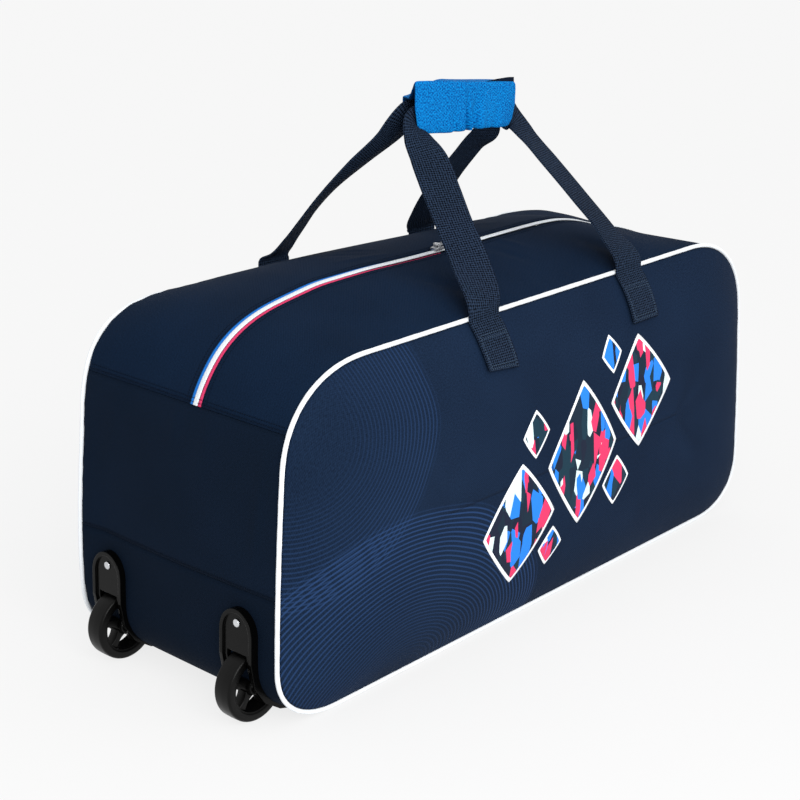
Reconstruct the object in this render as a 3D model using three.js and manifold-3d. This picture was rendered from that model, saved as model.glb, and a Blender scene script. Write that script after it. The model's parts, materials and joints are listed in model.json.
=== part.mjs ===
// A wheeled cricket kit bag: a long soft box of heavy navy cloth with white piping round the front and back
// panels, an arched top with a zip along it, two webbing handles joined by a padded wrap, and two wheels in
// moulded corner housings. Millimetres, +Z up, front panel towards -Y, wheel end towards -X.
// The cloth is cut in strips that run round one outline, the line of the piping seen from the front.

import * as THREE from "three";
import { mergeVertices } from "three/addons/utils/BufferGeometryUtils.js";
import Module from "manifold-3d";

const wasm = await Module();
wasm.setup();

// Driving dimensions: the outline of the piping, seen from the front

const bagHeight = 375; // bottom piping to top piping
const bagDepth = 309; // front piping to back piping
const topHalfLength = 398; // half the length at the height of the top piping
const endLean = 25; // how much further each end reaches out at the bottom
const endLeanPower = 1.7;
const topCorner = { along: 112, high: 102, power: 2.35 }; // a power of 2 is an ellipse, more is squarer
const bottomCorner = { along: 86, high: 70, power: 2.25 };

// Driving dimensions: cloth, seams and piping

const clothWall = 2;
const seamGap = 0.3;
const pipingRadius = 2.5;
const panelBulge = 44; // how far the front and back panels belly out
const panelBulgePower = 3.2;
const crownHeight = 35; // how far the top rises above its piping
const crownPower = 1.85;
const baseDrop = 3.5; // how far the base hangs below its piping
const basePlateau = 0.8; // share of the depth over which the base is flat
const basePower = 2;
const upperSeamHeight = 315; // where the top meets the end panel
const lowerSeamHeight = 143; // where the end panel meets the end band
const baseHalfLength = 322; // half the length of the base panel

// Driving dimensions: zip

const zipOffset = -21; // the coil's place across the top, from the middle
const coilWidth = 6.6;
const zipTapeWidth = 4.3;
const zipStand = 0.8; // how far the coil stands above the cloth
const slider = { along: -30, long: 13, wide: 9, high: 3.4 };
const sliderBar = { radius: 0.9, rise: 2.4, earThick: 1 };
const pull = { long: 24, wide: 6.4, thick: 1.6, eye: 2.1, tipHole: 1.7 };

// Driving dimensions: wheels and their housings

const wheelRadius = 39;
const wheelInset = { end: 9, side: 50.5 }; // from the bag's foot line and from the panels' seams
const wheel = {
  radius: wheelRadius,
  width: 23.5,
  x: wheelInset.end - topHalfLength - endLean,
  y: bagDepth / 2 - wheelInset.side,
  z: wheelRadius - baseDrop,
};
const wheelRim = 11;
const wheelHub = 10;
const wheelSpokes = { count: 5, wide: 7, thick: 13 };
const axleRadius = 4;
const runningGap = 0.5;
const wheelClearance = 5; // round the tread
const wheelSideGap = 2.8; // beside the wheel
const housing = { width: 48, top: 125, foot: 352, stand: 11, footStand: 3.2, wall: 14 };
const wellWall = 2.6;
const housingRim = 4.5;
const housingRecess = 2.4;
const rivet = { radius: 4.6, dome: 2.2, below: 16 };

// Driving dimensions: webbing handles and wrap

const strapWidth = 48;
const strapThickness = 2;
const strapTail = 56; // the stitched end on the panel
const strapNearX = -110;
const strapFarX = 153;
const strapLift = 0.5; // what the strap keeps to the cloth and the piping under it
const wrap = { x: 33, length: 176, rise: 189, nearHeight: 57, farHeight: 54, depth: 30, wall: 3, tilt: 17 };
const wrapCut = { near: 9, far: 26, above: 0.3 }; // how far the lower corners of its two ends are cut back

// How many faces the curves have

const cornerSteps = 5;
const sideSteps = 3;
const spanSteps = 6;
const pipingSides = 6;
const wheelSides = 28;

// How far the strip round the bag stands out of its outline, at the middle of the depth. around is the share
// of the whole outline, counted from the middle of the base towards the far end and on over the top, and
// stand is a share of the crown height.
const crownRows = [
  { around: 0.0, stand: 0.14 },
  { around: 0.24, stand: 0.14 },
  { around: 0.316, stand: 0.06 },
  { around: 0.35, stand: 0.08 },
  { around: 0.365, stand: 0.2 },
  { around: 0.382, stand: 0.43 },
  { around: 0.401, stand: 0.79 },
  { around: 0.415, stand: 0.94 },
  { around: 0.43, stand: 0.98 },
  { around: 0.478, stand: 0.96 },
  { around: 0.53, stand: 1.0 },
  { around: 0.565, stand: 1.05 },
  { around: 0.6, stand: 1.0 },
  { around: 0.625, stand: 0.77 },
  { around: 0.644, stand: 0.53 },
  { around: 0.657, stand: 0.36 },
  { around: 0.671, stand: 0.15 },
  { around: 0.685, stand: 0.06 },
  { around: 0.76, stand: 0.14 },
  { around: 1.0, stand: 0.14 },
];

// The free stretch of each handle leg, from the piping to the wrap. up is the share of the way, sag and lean
// are shares of the strap's width that it hangs down and drifts towards the wheel end, turn is the angle in
// degrees that its width has twisted, and wide is the share of the strap's width that it still spreads.
const legRows = {
  frontNear: [
    { up: 0.1, sag: 0.0, lean: -0.1, turn: -10, wide: 1 },
    { up: 0.3, sag: 0.0, lean: -0.16, turn: -15, wide: 1 },
    { up: 0.58, sag: 0.0, lean: -0.09, turn: -12, wide: 1 },
    { up: 0.82, sag: 0.02, lean: -0.04, turn: -2, wide: 0.85 },
  ],
  frontFar: [
    { up: 0.1, sag: 0.0, lean: -0.05, turn: 6, wide: 1 },
    { up: 0.33, sag: -0.02, lean: -0.12, turn: 12, wide: 1 },
    { up: 0.58, sag: 0.0, lean: 0.02, turn: 16, wide: 1 },
    { up: 0.82, sag: 0.05, lean: 0.14, turn: 16, wide: 0.8 },
  ],
  backNear: [
    { up: 0.1, sag: -0.06, lean: 0.1, turn: -12, wide: 1 },
    { up: 0.33, sag: -0.14, lean: 0.2, turn: -27, wide: 1 },
    { up: 0.58, sag: -0.14, lean: 0.17, turn: -45, wide: 1 },
    { up: 0.82, sag: -0.04, lean: 0.05, turn: -68, wide: 0.8 },
  ],
  backFar: [
    { up: 0.1, sag: -0.1, lean: 0.15, turn: 4, wide: 1 },
    { up: 0.33, sag: -0.13, lean: 0.23, turn: 2, wide: 1 },
    { up: 0.58, sag: -0.15, lean: 0.24, turn: 2, wide: 1 },
    { up: 0.82, sag: -0.1, lean: 0.22, turn: 14, wide: 0.8 },
  ],
};

// Each strap on its way through the wrap. along is a share of the wrap's length, and lies outside 0 to 1
// where the strap is still free, drop is how far it hangs below the wrap's middle line as a share of the
// strap's width, wide is the share of the strap's width that it spreads, and apart is its place between the
// wrap's middle and the wall of the wrap, as a share of the room that there is.
const wrapRows = [
  { along: -0.05, drop: 0.22, wide: 0.46, apart: 0.55 },
  { along: 0.05, drop: 0.1, wide: 0.56, apart: 0.62 },
  { along: 0.3, drop: 0.0, wide: 0.74, apart: 0.84 },
  { along: 0.7, drop: 0.0, wide: 0.74, apart: 0.84 },
  { along: 0.95, drop: 0.1, wide: 0.56, apart: 0.62 },
  { along: 1.05, drop: 0.22, wide: 0.46, apart: 0.55 },
];

// Helpers for closed solids

const navyCloth = new THREE.MeshStandardMaterial({ color: 0x16233c, roughness: 0.85, metalness: 0 });
const baseCloth = new THREE.MeshStandardMaterial({ color: 0x121317, roughness: 0.9, metalness: 0 });
const webbing = new THREE.MeshStandardMaterial({ color: 0x17263f, roughness: 0.8, metalness: 0 });
const whitePiping = new THREE.MeshStandardMaterial({ color: 0xf2f3f3, roughness: 0.6, metalness: 0 });
const blueTape = new THREE.MeshStandardMaterial({ color: 0x2f8fe0, roughness: 0.7, metalness: 0 });
const pinkTape = new THREE.MeshStandardMaterial({ color: 0xe03c70, roughness: 0.7, metalness: 0 });
const paleCoil = new THREE.MeshStandardMaterial({ color: 0xd9dee3, roughness: 0.5, metalness: 0 });
const blueWrapCloth = new THREE.MeshStandardMaterial({ color: 0x0b78cf, roughness: 0.7, metalness: 0 });
const blackPlastic = new THREE.MeshStandardMaterial({ color: 0x1b1b1d, roughness: 0.45, metalness: 0 });
const wheelPlastic = new THREE.MeshStandardMaterial({ color: 0x1f1f20, roughness: 0.5, metalness: 0 });
const brightMetal = new THREE.MeshStandardMaterial({ color: 0xc9ccd0, roughness: 0.25, metalness: 1 });

const group = new THREE.Group();

function addMesh(name, geometry, material) {
  const mesh = new THREE.Mesh(geometry, material);
  mesh.name = name;
  group.add(mesh);
  return mesh;
}

// Six times the signed volume, to tell whether the faces of a closed surface point out
function signedVolume(positions, index) {
  const a = new THREE.Vector3();
  const b = new THREE.Vector3();
  const c = new THREE.Vector3();
  let sum = 0;
  for (let i = 0; i < index.length; i += 3) {
    a.fromArray(positions, 3 * index[i]);
    b.fromArray(positions, 3 * index[i + 1]);
    c.fromArray(positions, 3 * index[i + 2]);
    sum += a.dot(b.cross(c));
  }
  return sum;
}

// Merges the vertices that coincide, drops the triangles that this leaves empty, and turns the faces outwards
function closedGeometry(positions, index) {
  const raw = new THREE.BufferGeometry();
  raw.setAttribute("position", new THREE.Float32BufferAttribute(positions, 3));
  raw.setIndex(index);
  const merged = mergeVertices(raw, 1e-3);
  const corners = merged.index.array;
  const kept = [];
  for (let i = 0; i < corners.length; i += 3) {
    const [a, b, c] = [corners[i], corners[i + 1], corners[i + 2]];
    if (a !== b && b !== c && c !== a) kept.push(a, b, c);
  }
  if (signedVolume(merged.attributes.position.array, kept) < 0) kept.reverse();
  merged.setIndex(kept);
  return merged;
}

// A closed wall between two grids of points of the same size. A ring grid closes on itself in its first
// direction. What coincides at the end of the second direction closes there, so it needs no end wall.
function wallBetween(outer, inner, { ring = false, startWall = true, endWall = true } = {}) {
  const rows = outer.length;
  const columns = outer[0].length;
  const positions = [];
  for (const grid of [outer, inner]) {
    for (const row of grid) {
      for (const point of row) positions.push(point.x, point.y, point.z);
    }
  }
  const at = (side, i, j) => (side * rows + (i % rows)) * columns + j;
  const index = [];
  const quad = (a, b, c, d) => index.push(a, b, c, a, c, d);
  const lastRow = ring ? rows : rows - 1;
  for (let i = 0; i < lastRow; i++) {
    for (let j = 0; j < columns - 1; j++) {
      quad(at(0, i, j), at(0, i + 1, j), at(0, i + 1, j + 1), at(0, i, j + 1));
      quad(at(1, i, j), at(1, i, j + 1), at(1, i + 1, j + 1), at(1, i + 1, j));
    }
    if (startWall) quad(at(0, i, 0), at(1, i, 0), at(1, i + 1, 0), at(0, i + 1, 0));
    const last = columns - 1;
    if (endWall) quad(at(0, i + 1, last), at(1, i + 1, last), at(1, i, last), at(0, i, last));
  }
  if (!ring) {
    for (let j = 0; j < columns - 1; j++) {
      quad(at(0, 0, j), at(0, 0, j + 1), at(1, 0, j + 1), at(1, 0, j));
      const end = rows - 1;
      quad(at(0, end, j), at(1, end, j), at(1, end, j + 1), at(0, end, j + 1));
    }
  }
  return closedGeometry(positions, index);
}

// A geometry as a solid for joining and cutting, and back
function solid(geometry) {
  const plain = geometry.clone();
  plain.deleteAttribute("normal");
  plain.deleteAttribute("uv");
  const merged = mergeVertices(plain, 1e-4);
  const mesh = new wasm.Mesh({
    numProp: 3,
    vertProperties: new Float32Array(merged.attributes.position.array),
    triVerts: new Uint32Array(merged.index.array),
  });
  return new wasm.Manifold(mesh);
}

function geometryOf(manifold) {
  const mesh = manifold.getMesh();
  const geometry = new THREE.BufferGeometry();
  geometry.setAttribute("position", new THREE.Float32BufferAttribute(mesh.vertProperties, 3));
  geometry.setIndex(Array.from(mesh.triVerts));
  return geometry;
}

// A box between two corners
function boxBetween(low, high) {
  const size = high.clone().sub(low);
  const box = new THREE.BoxGeometry(size.x, size.y, size.z);
  box.translate((low.x + high.x) / 2, (low.y + high.y) / 2, (low.z + high.z) / 2);
  return box;
}

// A cylinder along Y
function cylinderAlongY(radius, length, sides, x, y, z) {
  const cylinder = new THREE.CylinderGeometry(radius, radius, length, sides);
  cylinder.translate(x, y, z);
  return cylinder;
}

// The outline of the piping

const smooth = (t) => t * t * (3 - 2 * t);
const clamp01 = (t) => Math.min(1, Math.max(0, t));

function halfLengthAt(z) {
  return topHalfLength + endLean * (1 - (z / bagHeight) ** endLeanPower);
}

// A point of a squarish quarter ellipse, from (0, 1) at turn 0 to (1, 0) at turn 1
function quarter(turn, power) {
  const angle = (turn * Math.PI) / 2;
  return { across: Math.sin(angle) ** (2 / power), up: Math.cos(angle) ** (2 / power) };
}

// Half of the outline, from the middle of the base over the far end to the middle of the top
function halfOutline(steps) {
  const points = [{ x: 0, z: 0 }];
  for (let i = 0; i <= steps; i++) {
    const q = quarter(i / steps, bottomCorner.power);
    const z = bottomCorner.high * (1 - q.up);
    points.push({ x: halfLengthAt(z) - bottomCorner.along * (1 - q.across), z });
  }
  for (let i = 1; i <= steps; i++) {
    const z = bottomCorner.high + ((bagHeight - topCorner.high - bottomCorner.high) * i) / steps;
    points.push({ x: halfLengthAt(z), z });
  }
  for (let i = 1; i <= steps; i++) {
    const q = quarter(1 - i / steps, topCorner.power);
    const z = bagHeight - topCorner.high * (1 - q.up);
    points.push({ x: halfLengthAt(z) - topCorner.along * (1 - q.across), z });
  }
  points.push({ x: 0, z: bagHeight });
  return points;
}

const fineSteps = 60;
const finePoints = halfOutline(fineSteps);
const fineLengths = [0];
for (let i = 1; i < finePoints.length; i++) {
  const step = Math.hypot(finePoints[i].x - finePoints[i - 1].x, finePoints[i].z - finePoints[i - 1].z);
  fineLengths.push(fineLengths[i - 1] + step);
}
const halfLoop = fineLengths.at(-1);
const wholeLoop = 2 * halfLoop;

// The outline's point at a distance round it, from the middle of the base towards the far end
function outlineAt(distance) {
  const mirrored = distance > halfLoop;
  const d = Math.min(halfLoop, Math.max(0, mirrored ? wholeLoop - distance : distance));
  let i = 1;
  while (i < fineLengths.length - 1 && fineLengths[i] < d) i++;
  const t = (d - fineLengths[i - 1]) / (fineLengths[i] - fineLengths[i - 1]);
  const a = finePoints[i - 1];
  const b = finePoints[i];
  const x = a.x + (b.x - a.x) * t;
  return { x: mirrored ? -x : x, z: a.z + (b.z - a.z) * t };
}

// The direction that points out of the outline at a distance round it
function outwardAt(distance) {
  const reach = 2;
  const before = outlineAt((distance - reach + wholeLoop) % wholeLoop);
  const after = outlineAt((distance + reach) % wholeLoop);
  const length = Math.hypot(after.x - before.x, after.z - before.z);
  return { x: (after.z - before.z) / length, z: -(after.x - before.x) / length };
}

// The distance at which the far end has a given height
function distanceAtHeight(z) {
  let i = 2;
  while (finePoints[i].z < z) i++;
  const t = (z - finePoints[i - 1].z) / (finePoints[i].z - finePoints[i - 1].z);
  return fineLengths[i - 1] + (fineLengths[i] - fineLengths[i - 1]) * t;
}

// The distances at which the strips and the piping have their edges, the same for all of them, so that
// pieces that lie side by side turn at the same places. spine is where the panels' middle line ends.
const spine = topHalfLength - bagHeight / 2;
const cornerStarts = [1, 1 + fineSteps, 1 + 2 * fineSteps, 1 + 3 * fineSteps];
const halfStations = [];
for (let i = 0; i <= spanSteps; i++) halfStations.push((spine * i) / spanSteps);
for (const [piece, steps] of [[0, cornerSteps], [1, sideSteps], [2, cornerSteps]]) {
  const first = piece === 0 ? 0 : 1;
  for (let i = first; i <= steps; i++) {
    halfStations.push(fineLengths[cornerStarts[piece] + Math.round((fineSteps * i) / steps)]);
  }
}
for (let i = spanSteps; i >= 0; i--) halfStations.push(halfLoop - (spine * i) / spanSteps);
const stations = halfStations.concat(
  halfStations
    .slice(1, -1)
    .reverse()
    .map((d) => wholeLoop - d),
);

// The stations between two distances, with the two distances themselves at the ends
function stationsBetween(start, end) {
  const margin = 4;
  return [start, ...stations.filter((d) => d > start + margin && d < end - margin), end];
}

// The strips that run round the bag

function crownStand(distance) {
  const share = distance / wholeLoop;
  let i = 1;
  while (i < crownRows.length - 1 && crownRows[i].around < share) i++;
  const a = crownRows[i - 1];
  const b = crownRows[i];
  const t = clamp01((share - a.around) / (b.around - a.around));
  return crownHeight * (a.stand + (b.stand - a.stand) * t);
}

// 0 on the end panels, 1 on the base, and between them along the bottom corner
function baseShare(distance) {
  const d = Math.min(distance, wholeLoop - distance);
  const start = fineLengths[cornerStarts[0]];
  const end = fineLengths[cornerStarts[1]];
  return smooth(clamp01((end - d) / (end - start)));
}

// How far the strip stands out of the outline at a distance round it and a place across the depth
function standAt(distance, y) {
  const share = baseShare(distance);
  const plateau = basePlateau * share;
  const power = crownPower + (basePower - crownPower) * share;
  const middle = crownStand(distance) * (1 - share) + baseDrop * share;
  const w = Math.abs(y) / (bagDepth / 2);
  return middle * (1 - clamp01((w - plateau) / (1 - plateau)) ** power);
}

function stripPoint(distance, y, lift) {
  const o = outlineAt(distance);
  const n = outwardAt(distance);
  const stand = standAt(distance, y) + lift;
  return new THREE.Vector3(o.x + n.x * stand, y, o.z + n.z * stand);
}

// A strip of cloth between two distances and between the places across the depth in a list
function stripGeometry(start, end, across, lift = 0, wall = clothWall) {
  const along = stationsBetween(start, end);
  const outer = along.map((d) => across.map((y) => stripPoint(d, y, lift)));
  const inner = along.map((d) => across.map((y) => stripPoint(d, y, lift - wall)));
  return wallBetween(outer, inner);
}

// Places across the depth: the whole width between the pipings, or a part of it
const edgeY = bagDepth / 2 - pipingRadius - seamGap;
const spread = (from, to, shares) => shares.map((share) => from + (to - from) * share);
const wholeWidth = spread(-edgeY, edgeY, [0, 0.05, 0.1, 0.2, 0.35, 0.5, 0.65, 0.8, 0.9, 0.95, 1]);

const upperSeamFar = distanceAtHeight(upperSeamHeight);
const lowerSeamFar = distanceAtHeight(lowerSeamHeight);
const upperSeamWheel = wholeLoop - upperSeamFar;
const lowerSeamWheel = wholeLoop - lowerSeamFar;
const halfGap = seamGap / 2;

function buildTop() {
  const start = upperSeamFar + halfGap;
  const end = upperSeamWheel - halfGap;
  const coil = [zipOffset - coilWidth / 2, zipOffset + coilWidth / 2];
  const frontTape = [coil[0] - seamGap - zipTapeWidth, coil[0] - seamGap];
  const backTape = [coil[1] + seamGap, coil[1] + seamGap + zipTapeWidth];
  const panelShares = [0, 0.1, 0.35, 0.7, 1];
  const frontPanel = spread(-edgeY, frontTape[0] - seamGap, panelShares);
  const backPanel = spread(edgeY, backTape[1] + seamGap, panelShares).reverse();
  addMesh("top_panel_front", stripGeometry(start, end, frontPanel), navyCloth);
  addMesh("top_panel_back", stripGeometry(start, end, backPanel), navyCloth);
  addMesh("zip_tape_front", stripGeometry(start, end, frontTape), pinkTape);
  addMesh("zip_tape_back", stripGeometry(start, end, backTape), blueTape);
  addMesh("zip_coil", stripGeometry(start, end, coil, zipStand, clothWall + zipStand), paleCoil);
}

function buildEnds() {
  const shares = [lowerSeamFar + halfGap, upperSeamFar - halfGap];
  addMesh("end_panel_far", stripGeometry(shares[0], shares[1], wholeWidth), navyCloth);
  const mirrored = [upperSeamWheel + halfGap, lowerSeamWheel - halfGap];
  addMesh("end_panel_wheel", stripGeometry(mirrored[0], mirrored[1], wholeWidth), navyCloth);
}

function buildBase() {
  const seam = baseHalfLength + halfGap;
  addMesh("end_band_far", stripGeometry(seam, lowerSeamFar - halfGap, wholeWidth), navyCloth);
  let band = solid(stripGeometry(lowerSeamWheel + halfGap, wholeLoop - seam, wholeWidth));
  for (const side of [-1, 1]) band = band.subtract(housingRoom(side));
  addMesh("end_band_wheel", geometryOf(band), navyCloth);
  const low = baseHalfLength - halfGap;
  const rows = [-low, low].map((x) => (x < 0 ? wholeLoop + x : x));
  const outer = rows.map((d) => wholeWidth.map((y) => stripPoint(d, y, 0)));
  const inner = rows.map((d) => wholeWidth.map((y) => stripPoint(d, y, -clothWall)));
  addMesh("base_panel", wallBetween(outer, inner), baseCloth);
}

// The front and back panels, and the piping round them

// The belly of a panel at a share of the way from its edge to its middle line
function bellyAt(share) {
  return panelBulge * (1 - (1 - share) ** panelBulgePower);
}

function panelPoint(distance, share, side, lift) {
  const o = outlineAt(distance);
  const n = outwardAt(distance);
  const inset = pipingRadius + seamGap;
  const edge = { x: o.x - n.x * inset, z: o.z - n.z * inset };
  const middle = { x: Math.min(spine, Math.max(-spine, o.x)), z: bagHeight / 2 };
  const y = side * (bagDepth / 2 + bellyAt(share) + lift);
  return new THREE.Vector3(edge.x + (middle.x - edge.x) * share, y, edge.z + (middle.z - edge.z) * share);
}

function buildPanel(name, side) {
  const rings = [0, 0.07, 0.18, 0.36, 0.62, 1];
  const outer = stations.map((d) => rings.map((share) => panelPoint(d, share, side, clothWall / 2)));
  const inner = stations.map((d) => rings.map((share) => panelPoint(d, share, side, -clothWall / 2)));
  addMesh(name, wallBetween(outer, inner, { ring: true, endWall: false }), navyCloth);
}

function buildPiping(name, side) {
  const positions = [];
  const index = [];
  for (const d of stations) {
    const o = outlineAt(d);
    const n = outwardAt(d);
    for (let k = 0; k < pipingSides; k++) {
      const angle = (2 * Math.PI * k) / pipingSides;
      const out = pipingRadius * Math.sin(angle);
      const y = side * (bagDepth / 2) + pipingRadius * Math.cos(angle);
      positions.push(o.x + n.x * out, y, o.z + n.z * out);
    }
  }
  for (let i = 0; i < stations.length; i++) {
    const next = (i + 1) % stations.length;
    for (let k = 0; k < pipingSides; k++) {
      const turn = (k + 1) % pipingSides;
      const [a, b] = [i * pipingSides + k, next * pipingSides + k];
      const [c, d] = [next * pipingSides + turn, i * pipingSides + turn];
      index.push(a, b, c, a, c, d);
    }
  }
  addMesh(name, closedGeometry(positions, index), whitePiping);
}

// The wheel housings: a plate that follows the end and the bottom corner, and a well that holds the axle

// A plate that follows the wheel end's outline, from a height down to a place under the base
function plateGeometry(top, foot, width, y, outerLift, innerLift) {
  const start = wholeLoop - distanceAtHeight(top);
  const end = wholeLoop - foot;
  const along = stationsBetween(start, end);
  const row = (d, lift) => {
    const share = baseShare(d);
    const stand = housing.stand + (housing.footStand - housing.stand) * share + lift;
    const o = outlineAt(d);
    const n = outwardAt(d);
    const edges = [y - width / 2, y + width / 2];
    return edges.map((edge) => new THREE.Vector3(o.x + n.x * stand, edge, o.z + n.z * stand));
  };
  return wallBetween(along.map((d) => row(d, outerLift)), along.map((d) => row(d, innerLift)));
}

// The plate's outline seen from the end: straight sides and a round top, cut through the whole end
function plateOutline(width, top, y) {
  const shape = new THREE.Shape();
  const half = width / 2;
  const below = -40;
  const shoulder = top - half * 1.15;
  shape.moveTo(-half, below);
  shape.lineTo(half, below);
  shape.lineTo(half, shoulder);
  shape.absellipse(0, shoulder, half, top - shoulder, 0, Math.PI, false);
  shape.closePath();
  const reach = 150;
  const geometry = new THREE.ExtrudeGeometry(shape, { depth: reach, bevelEnabled: false, curveSegments: 12 });
  geometry.rotateX(Math.PI / 2);
  geometry.rotateZ(Math.PI / 2);
  geometry.translate(wheel.x - wheel.radius - 40, y, 0);
  return solid(geometry);
}

const wellRadius = wheel.radius + wheelClearance;
const wellWidth = wheel.width + 2 * wheelSideGap;

// The solid form of a housing, larger by a margin, without the room for the wheel
function housingForm(side, margin) {
  const y = side * wheel.y;
  const width = housing.width + 2 * margin;
  const outer = margin > 0 ? 30 : 0;
  const thick = housing.wall + outer;
  const plate = solid(plateGeometry(housing.top + 30, housing.foot - margin, width, y, outer, -thick));
  const plateForm = plate.intersect(plateOutline(width, housing.top + margin, y));
  const around = wellRadius + wellWall + margin;
  const across = wellWidth + 2 * (wellWall + margin);
  const well = solid(cylinderAlongY(around, across, wheelSides, wheel.x, y, wheel.z));
  const inside = solid(plateGeometry(housing.top + 30, housing.foot - 60, width, y, outer, -200));
  return plateForm.add(well.intersect(inside));
}

function housingRoom(side) {
  return housingForm(side, seamGap);
}

function buildHousing(name, side) {
  const y = side * wheel.y;
  const room = solid(cylinderAlongY(wellRadius, wellWidth, wheelSides, wheel.x, y, wheel.z));
  const recessWidth = housing.width - 2 * housingRim;
  const recess = solid(
    plateGeometry(housing.top + 30, housing.foot + housingRim + 14, recessWidth, y, 20, -housingRecess),
  ).intersect(plateOutline(recessWidth, housing.top - housingRim, y));
  const bore = solid(
    cylinderAlongY(axleRadius + seamGap, wellWidth + 4 * wellWall, 16, wheel.x, y, wheel.z),
  );
  const form = housingForm(side, 0).subtract(room).subtract(recess).subtract(bore);
  addMesh(name, geometryOf(form), blackPlastic);
}

// The rivet's place: on the recessed face, a little below the top of the plate
function buildRivet(name, side) {
  const z = housing.top - rivet.below;
  const distance = wholeLoop - distanceAtHeight(z);
  const o = outlineAt(distance);
  const n = outwardAt(distance);
  const stand = housing.stand - housingRecess + seamGap;
  const profile = [
    new THREE.Vector2(0, 0),
    new THREE.Vector2(rivet.radius, 0),
    new THREE.Vector2(rivet.radius * 0.8, rivet.dome * 0.7),
    new THREE.Vector2(0, rivet.dome),
  ];
  const geometry = new THREE.LatheGeometry(profile, 14);
  const rivetMesh = addMesh(name, closedLathe(geometry), brightMetal);
  const outward = new THREE.Vector3(n.x, 0, n.z);
  rivetMesh.quaternion.setFromUnitVectors(new THREE.Vector3(0, 1, 0), outward);
  rivetMesh.position.set(o.x + n.x * stand, side * wheel.y, o.z + n.z * stand);
}

// A lathe form whose profile starts and ends on the axis, with its seam closed
function closedLathe(geometry) {
  return closedGeometry(Array.from(geometry.attributes.position.array), Array.from(geometry.index.array));
}

function buildWheel(name, side) {
  const y = side * wheel.y;
  const tread = solid(cylinderAlongY(wheel.radius, wheel.width, wheelSides, 0, 0, 0));
  const hollow = solid(cylinderAlongY(wheel.radius - wheelRim, wheel.width + 2, wheelSides, 0, 0, 0));
  let form = tread.subtract(hollow);
  for (let i = 0; i < wheelSpokes.count; i++) {
    const reach = wheel.radius - wheelRim / 2;
    const spoke = boxBetween(
      new THREE.Vector3(0, -wheelSpokes.thick / 2, -wheelSpokes.wide / 2),
      new THREE.Vector3(reach, wheelSpokes.thick / 2, wheelSpokes.wide / 2),
    );
    spoke.rotateY((2 * Math.PI * i) / wheelSpokes.count);
    form = form.add(solid(spoke));
  }
  form = form.add(solid(cylinderAlongY(wheelHub, wheel.width, 16, 0, 0, 0)));
  form = form.subtract(solid(cylinderAlongY(axleRadius + runningGap, wheel.width + 2, 16, 0, 0, 0)));
  const mesh = addMesh(name, geometryOf(form), wheelPlastic);
  mesh.position.set(wheel.x, y, wheel.z);
}

function buildAxle(name, side) {
  const length = wellWidth + 2 * wellWall;
  const mesh = addMesh(name, solidCylinder(axleRadius, length, 16), brightMetal);
  mesh.position.set(wheel.x, side * wheel.y, wheel.z);
}

function solidCylinder(radius, length, sides) {
  return geometryOf(solid(new THREE.CylinderGeometry(radius, radius, length, sides)));
}

// The webbing handles and the wrap that joins them

// Where the wrap's middle line is at a share of its length, from its wheel end to its far end
function wrapCentre(share) {
  const x = wrap.x + (share - 0.5) * wrap.length;
  return new THREE.Vector3(x, 0, bagHeight + wrap.rise + (0.5 - share) * wrap.tilt);
}

// The stitched tail of a strap on its panel, from its end up to the piping
function tailRow(x, side, share) {
  const z = bagHeight - strapTail * (1 - share);
  const inwards = (bagHeight - z) / (bagHeight / 2);
  const cloth = bellyAt(Math.max(0, inwards)) + clothWall / 2;
  const under = Math.max(cloth, pipingRadius * share);
  return new THREE.Vector3(x, side * (bagDepth / 2 + under + strapLift + strapThickness / 2), z);
}

// The rows of one leg, from the stitched end to the mouth of the wrap
function legSections(x, side, rows, mouth) {
  const sections = [0, 0.25, 0.5, 0.75, 1].map((share) => ({
    centre: tailRow(x, side, share),
    across: new THREE.Vector3(1, 0, 0),
    width: strapWidth,
  }));
  const start = sections.at(-1).centre.clone().add(new THREE.Vector3(0, 0, 2 * pipingRadius));
  sections.push({ centre: start, across: new THREE.Vector3(1, 0, 0), width: strapWidth });
  for (const row of rows) {
    const centre = start.clone().lerp(mouth, row.up);
    centre.x -= row.lean * strapWidth;
    centre.z -= row.sag * strapWidth;
    const turn = (row.turn * Math.PI) / 180;
    sections.push({
      centre,
      across: new THREE.Vector3(Math.cos(turn), -side * Math.sin(turn), 0),
      width: strapWidth * row.wide,
    });
  }
  return sections;
}

function strapSections(side, nearRows, farRows) {
  const room = wrap.depth / 2 - wrap.wall - strapThickness / 2;
  const middle = wrapRows.map((row) => ({
    centre: wrapCentre(row.along).add(new THREE.Vector3(0, side * room * row.apart, -row.drop * strapWidth)),
    across: new THREE.Vector3(0, 0, -1),
    width: strapWidth * row.wide,
  }));
  const near = legSections(strapNearX, side, nearRows, middle[0].centre);
  const far = legSections(strapFarX, side, farRows, middle.at(-1).centre).reverse();
  for (const section of far) section.across.negate();
  return [...near, ...middle, ...far];
}

// A flat strap through a list of sections, smoothed between them
function strapGeometry(sections) {
  const centres = new THREE.CatmullRomCurve3(sections.map((s) => s.centre), false, "centripetal");
  const count = sections.length - 1;
  const perSection = 2;
  const outer = [];
  const inner = [];
  for (let i = 0; i <= count * perSection; i++) {
    const t = i / perSection;
    const k = Math.min(count - 1, Math.floor(t));
    const blend = smooth(t - k);
    const centre = centres.getPoint(t / count);
    const tangent = centres.getTangent(t / count);
    const across = sections[k].across.clone().lerp(sections[k + 1].across, blend);
    across.addScaledVector(tangent, -across.dot(tangent)).normalize();
    const width = sections[k].width + (sections[k + 1].width - sections[k].width) * blend;
    const normal = tangent.clone().cross(across).normalize();
    const edge = (u, v) => {
      const point = centre.clone().addScaledVector(across, (u * width) / 2);
      return point.addScaledVector(normal, (v * strapThickness) / 2);
    };
    outer.push([edge(-1, 1), edge(1, 1)]);
    inner.push([edge(-1, -1), edge(1, -1)]);
  }
  return wallBetween(outer, inner);
}

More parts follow.
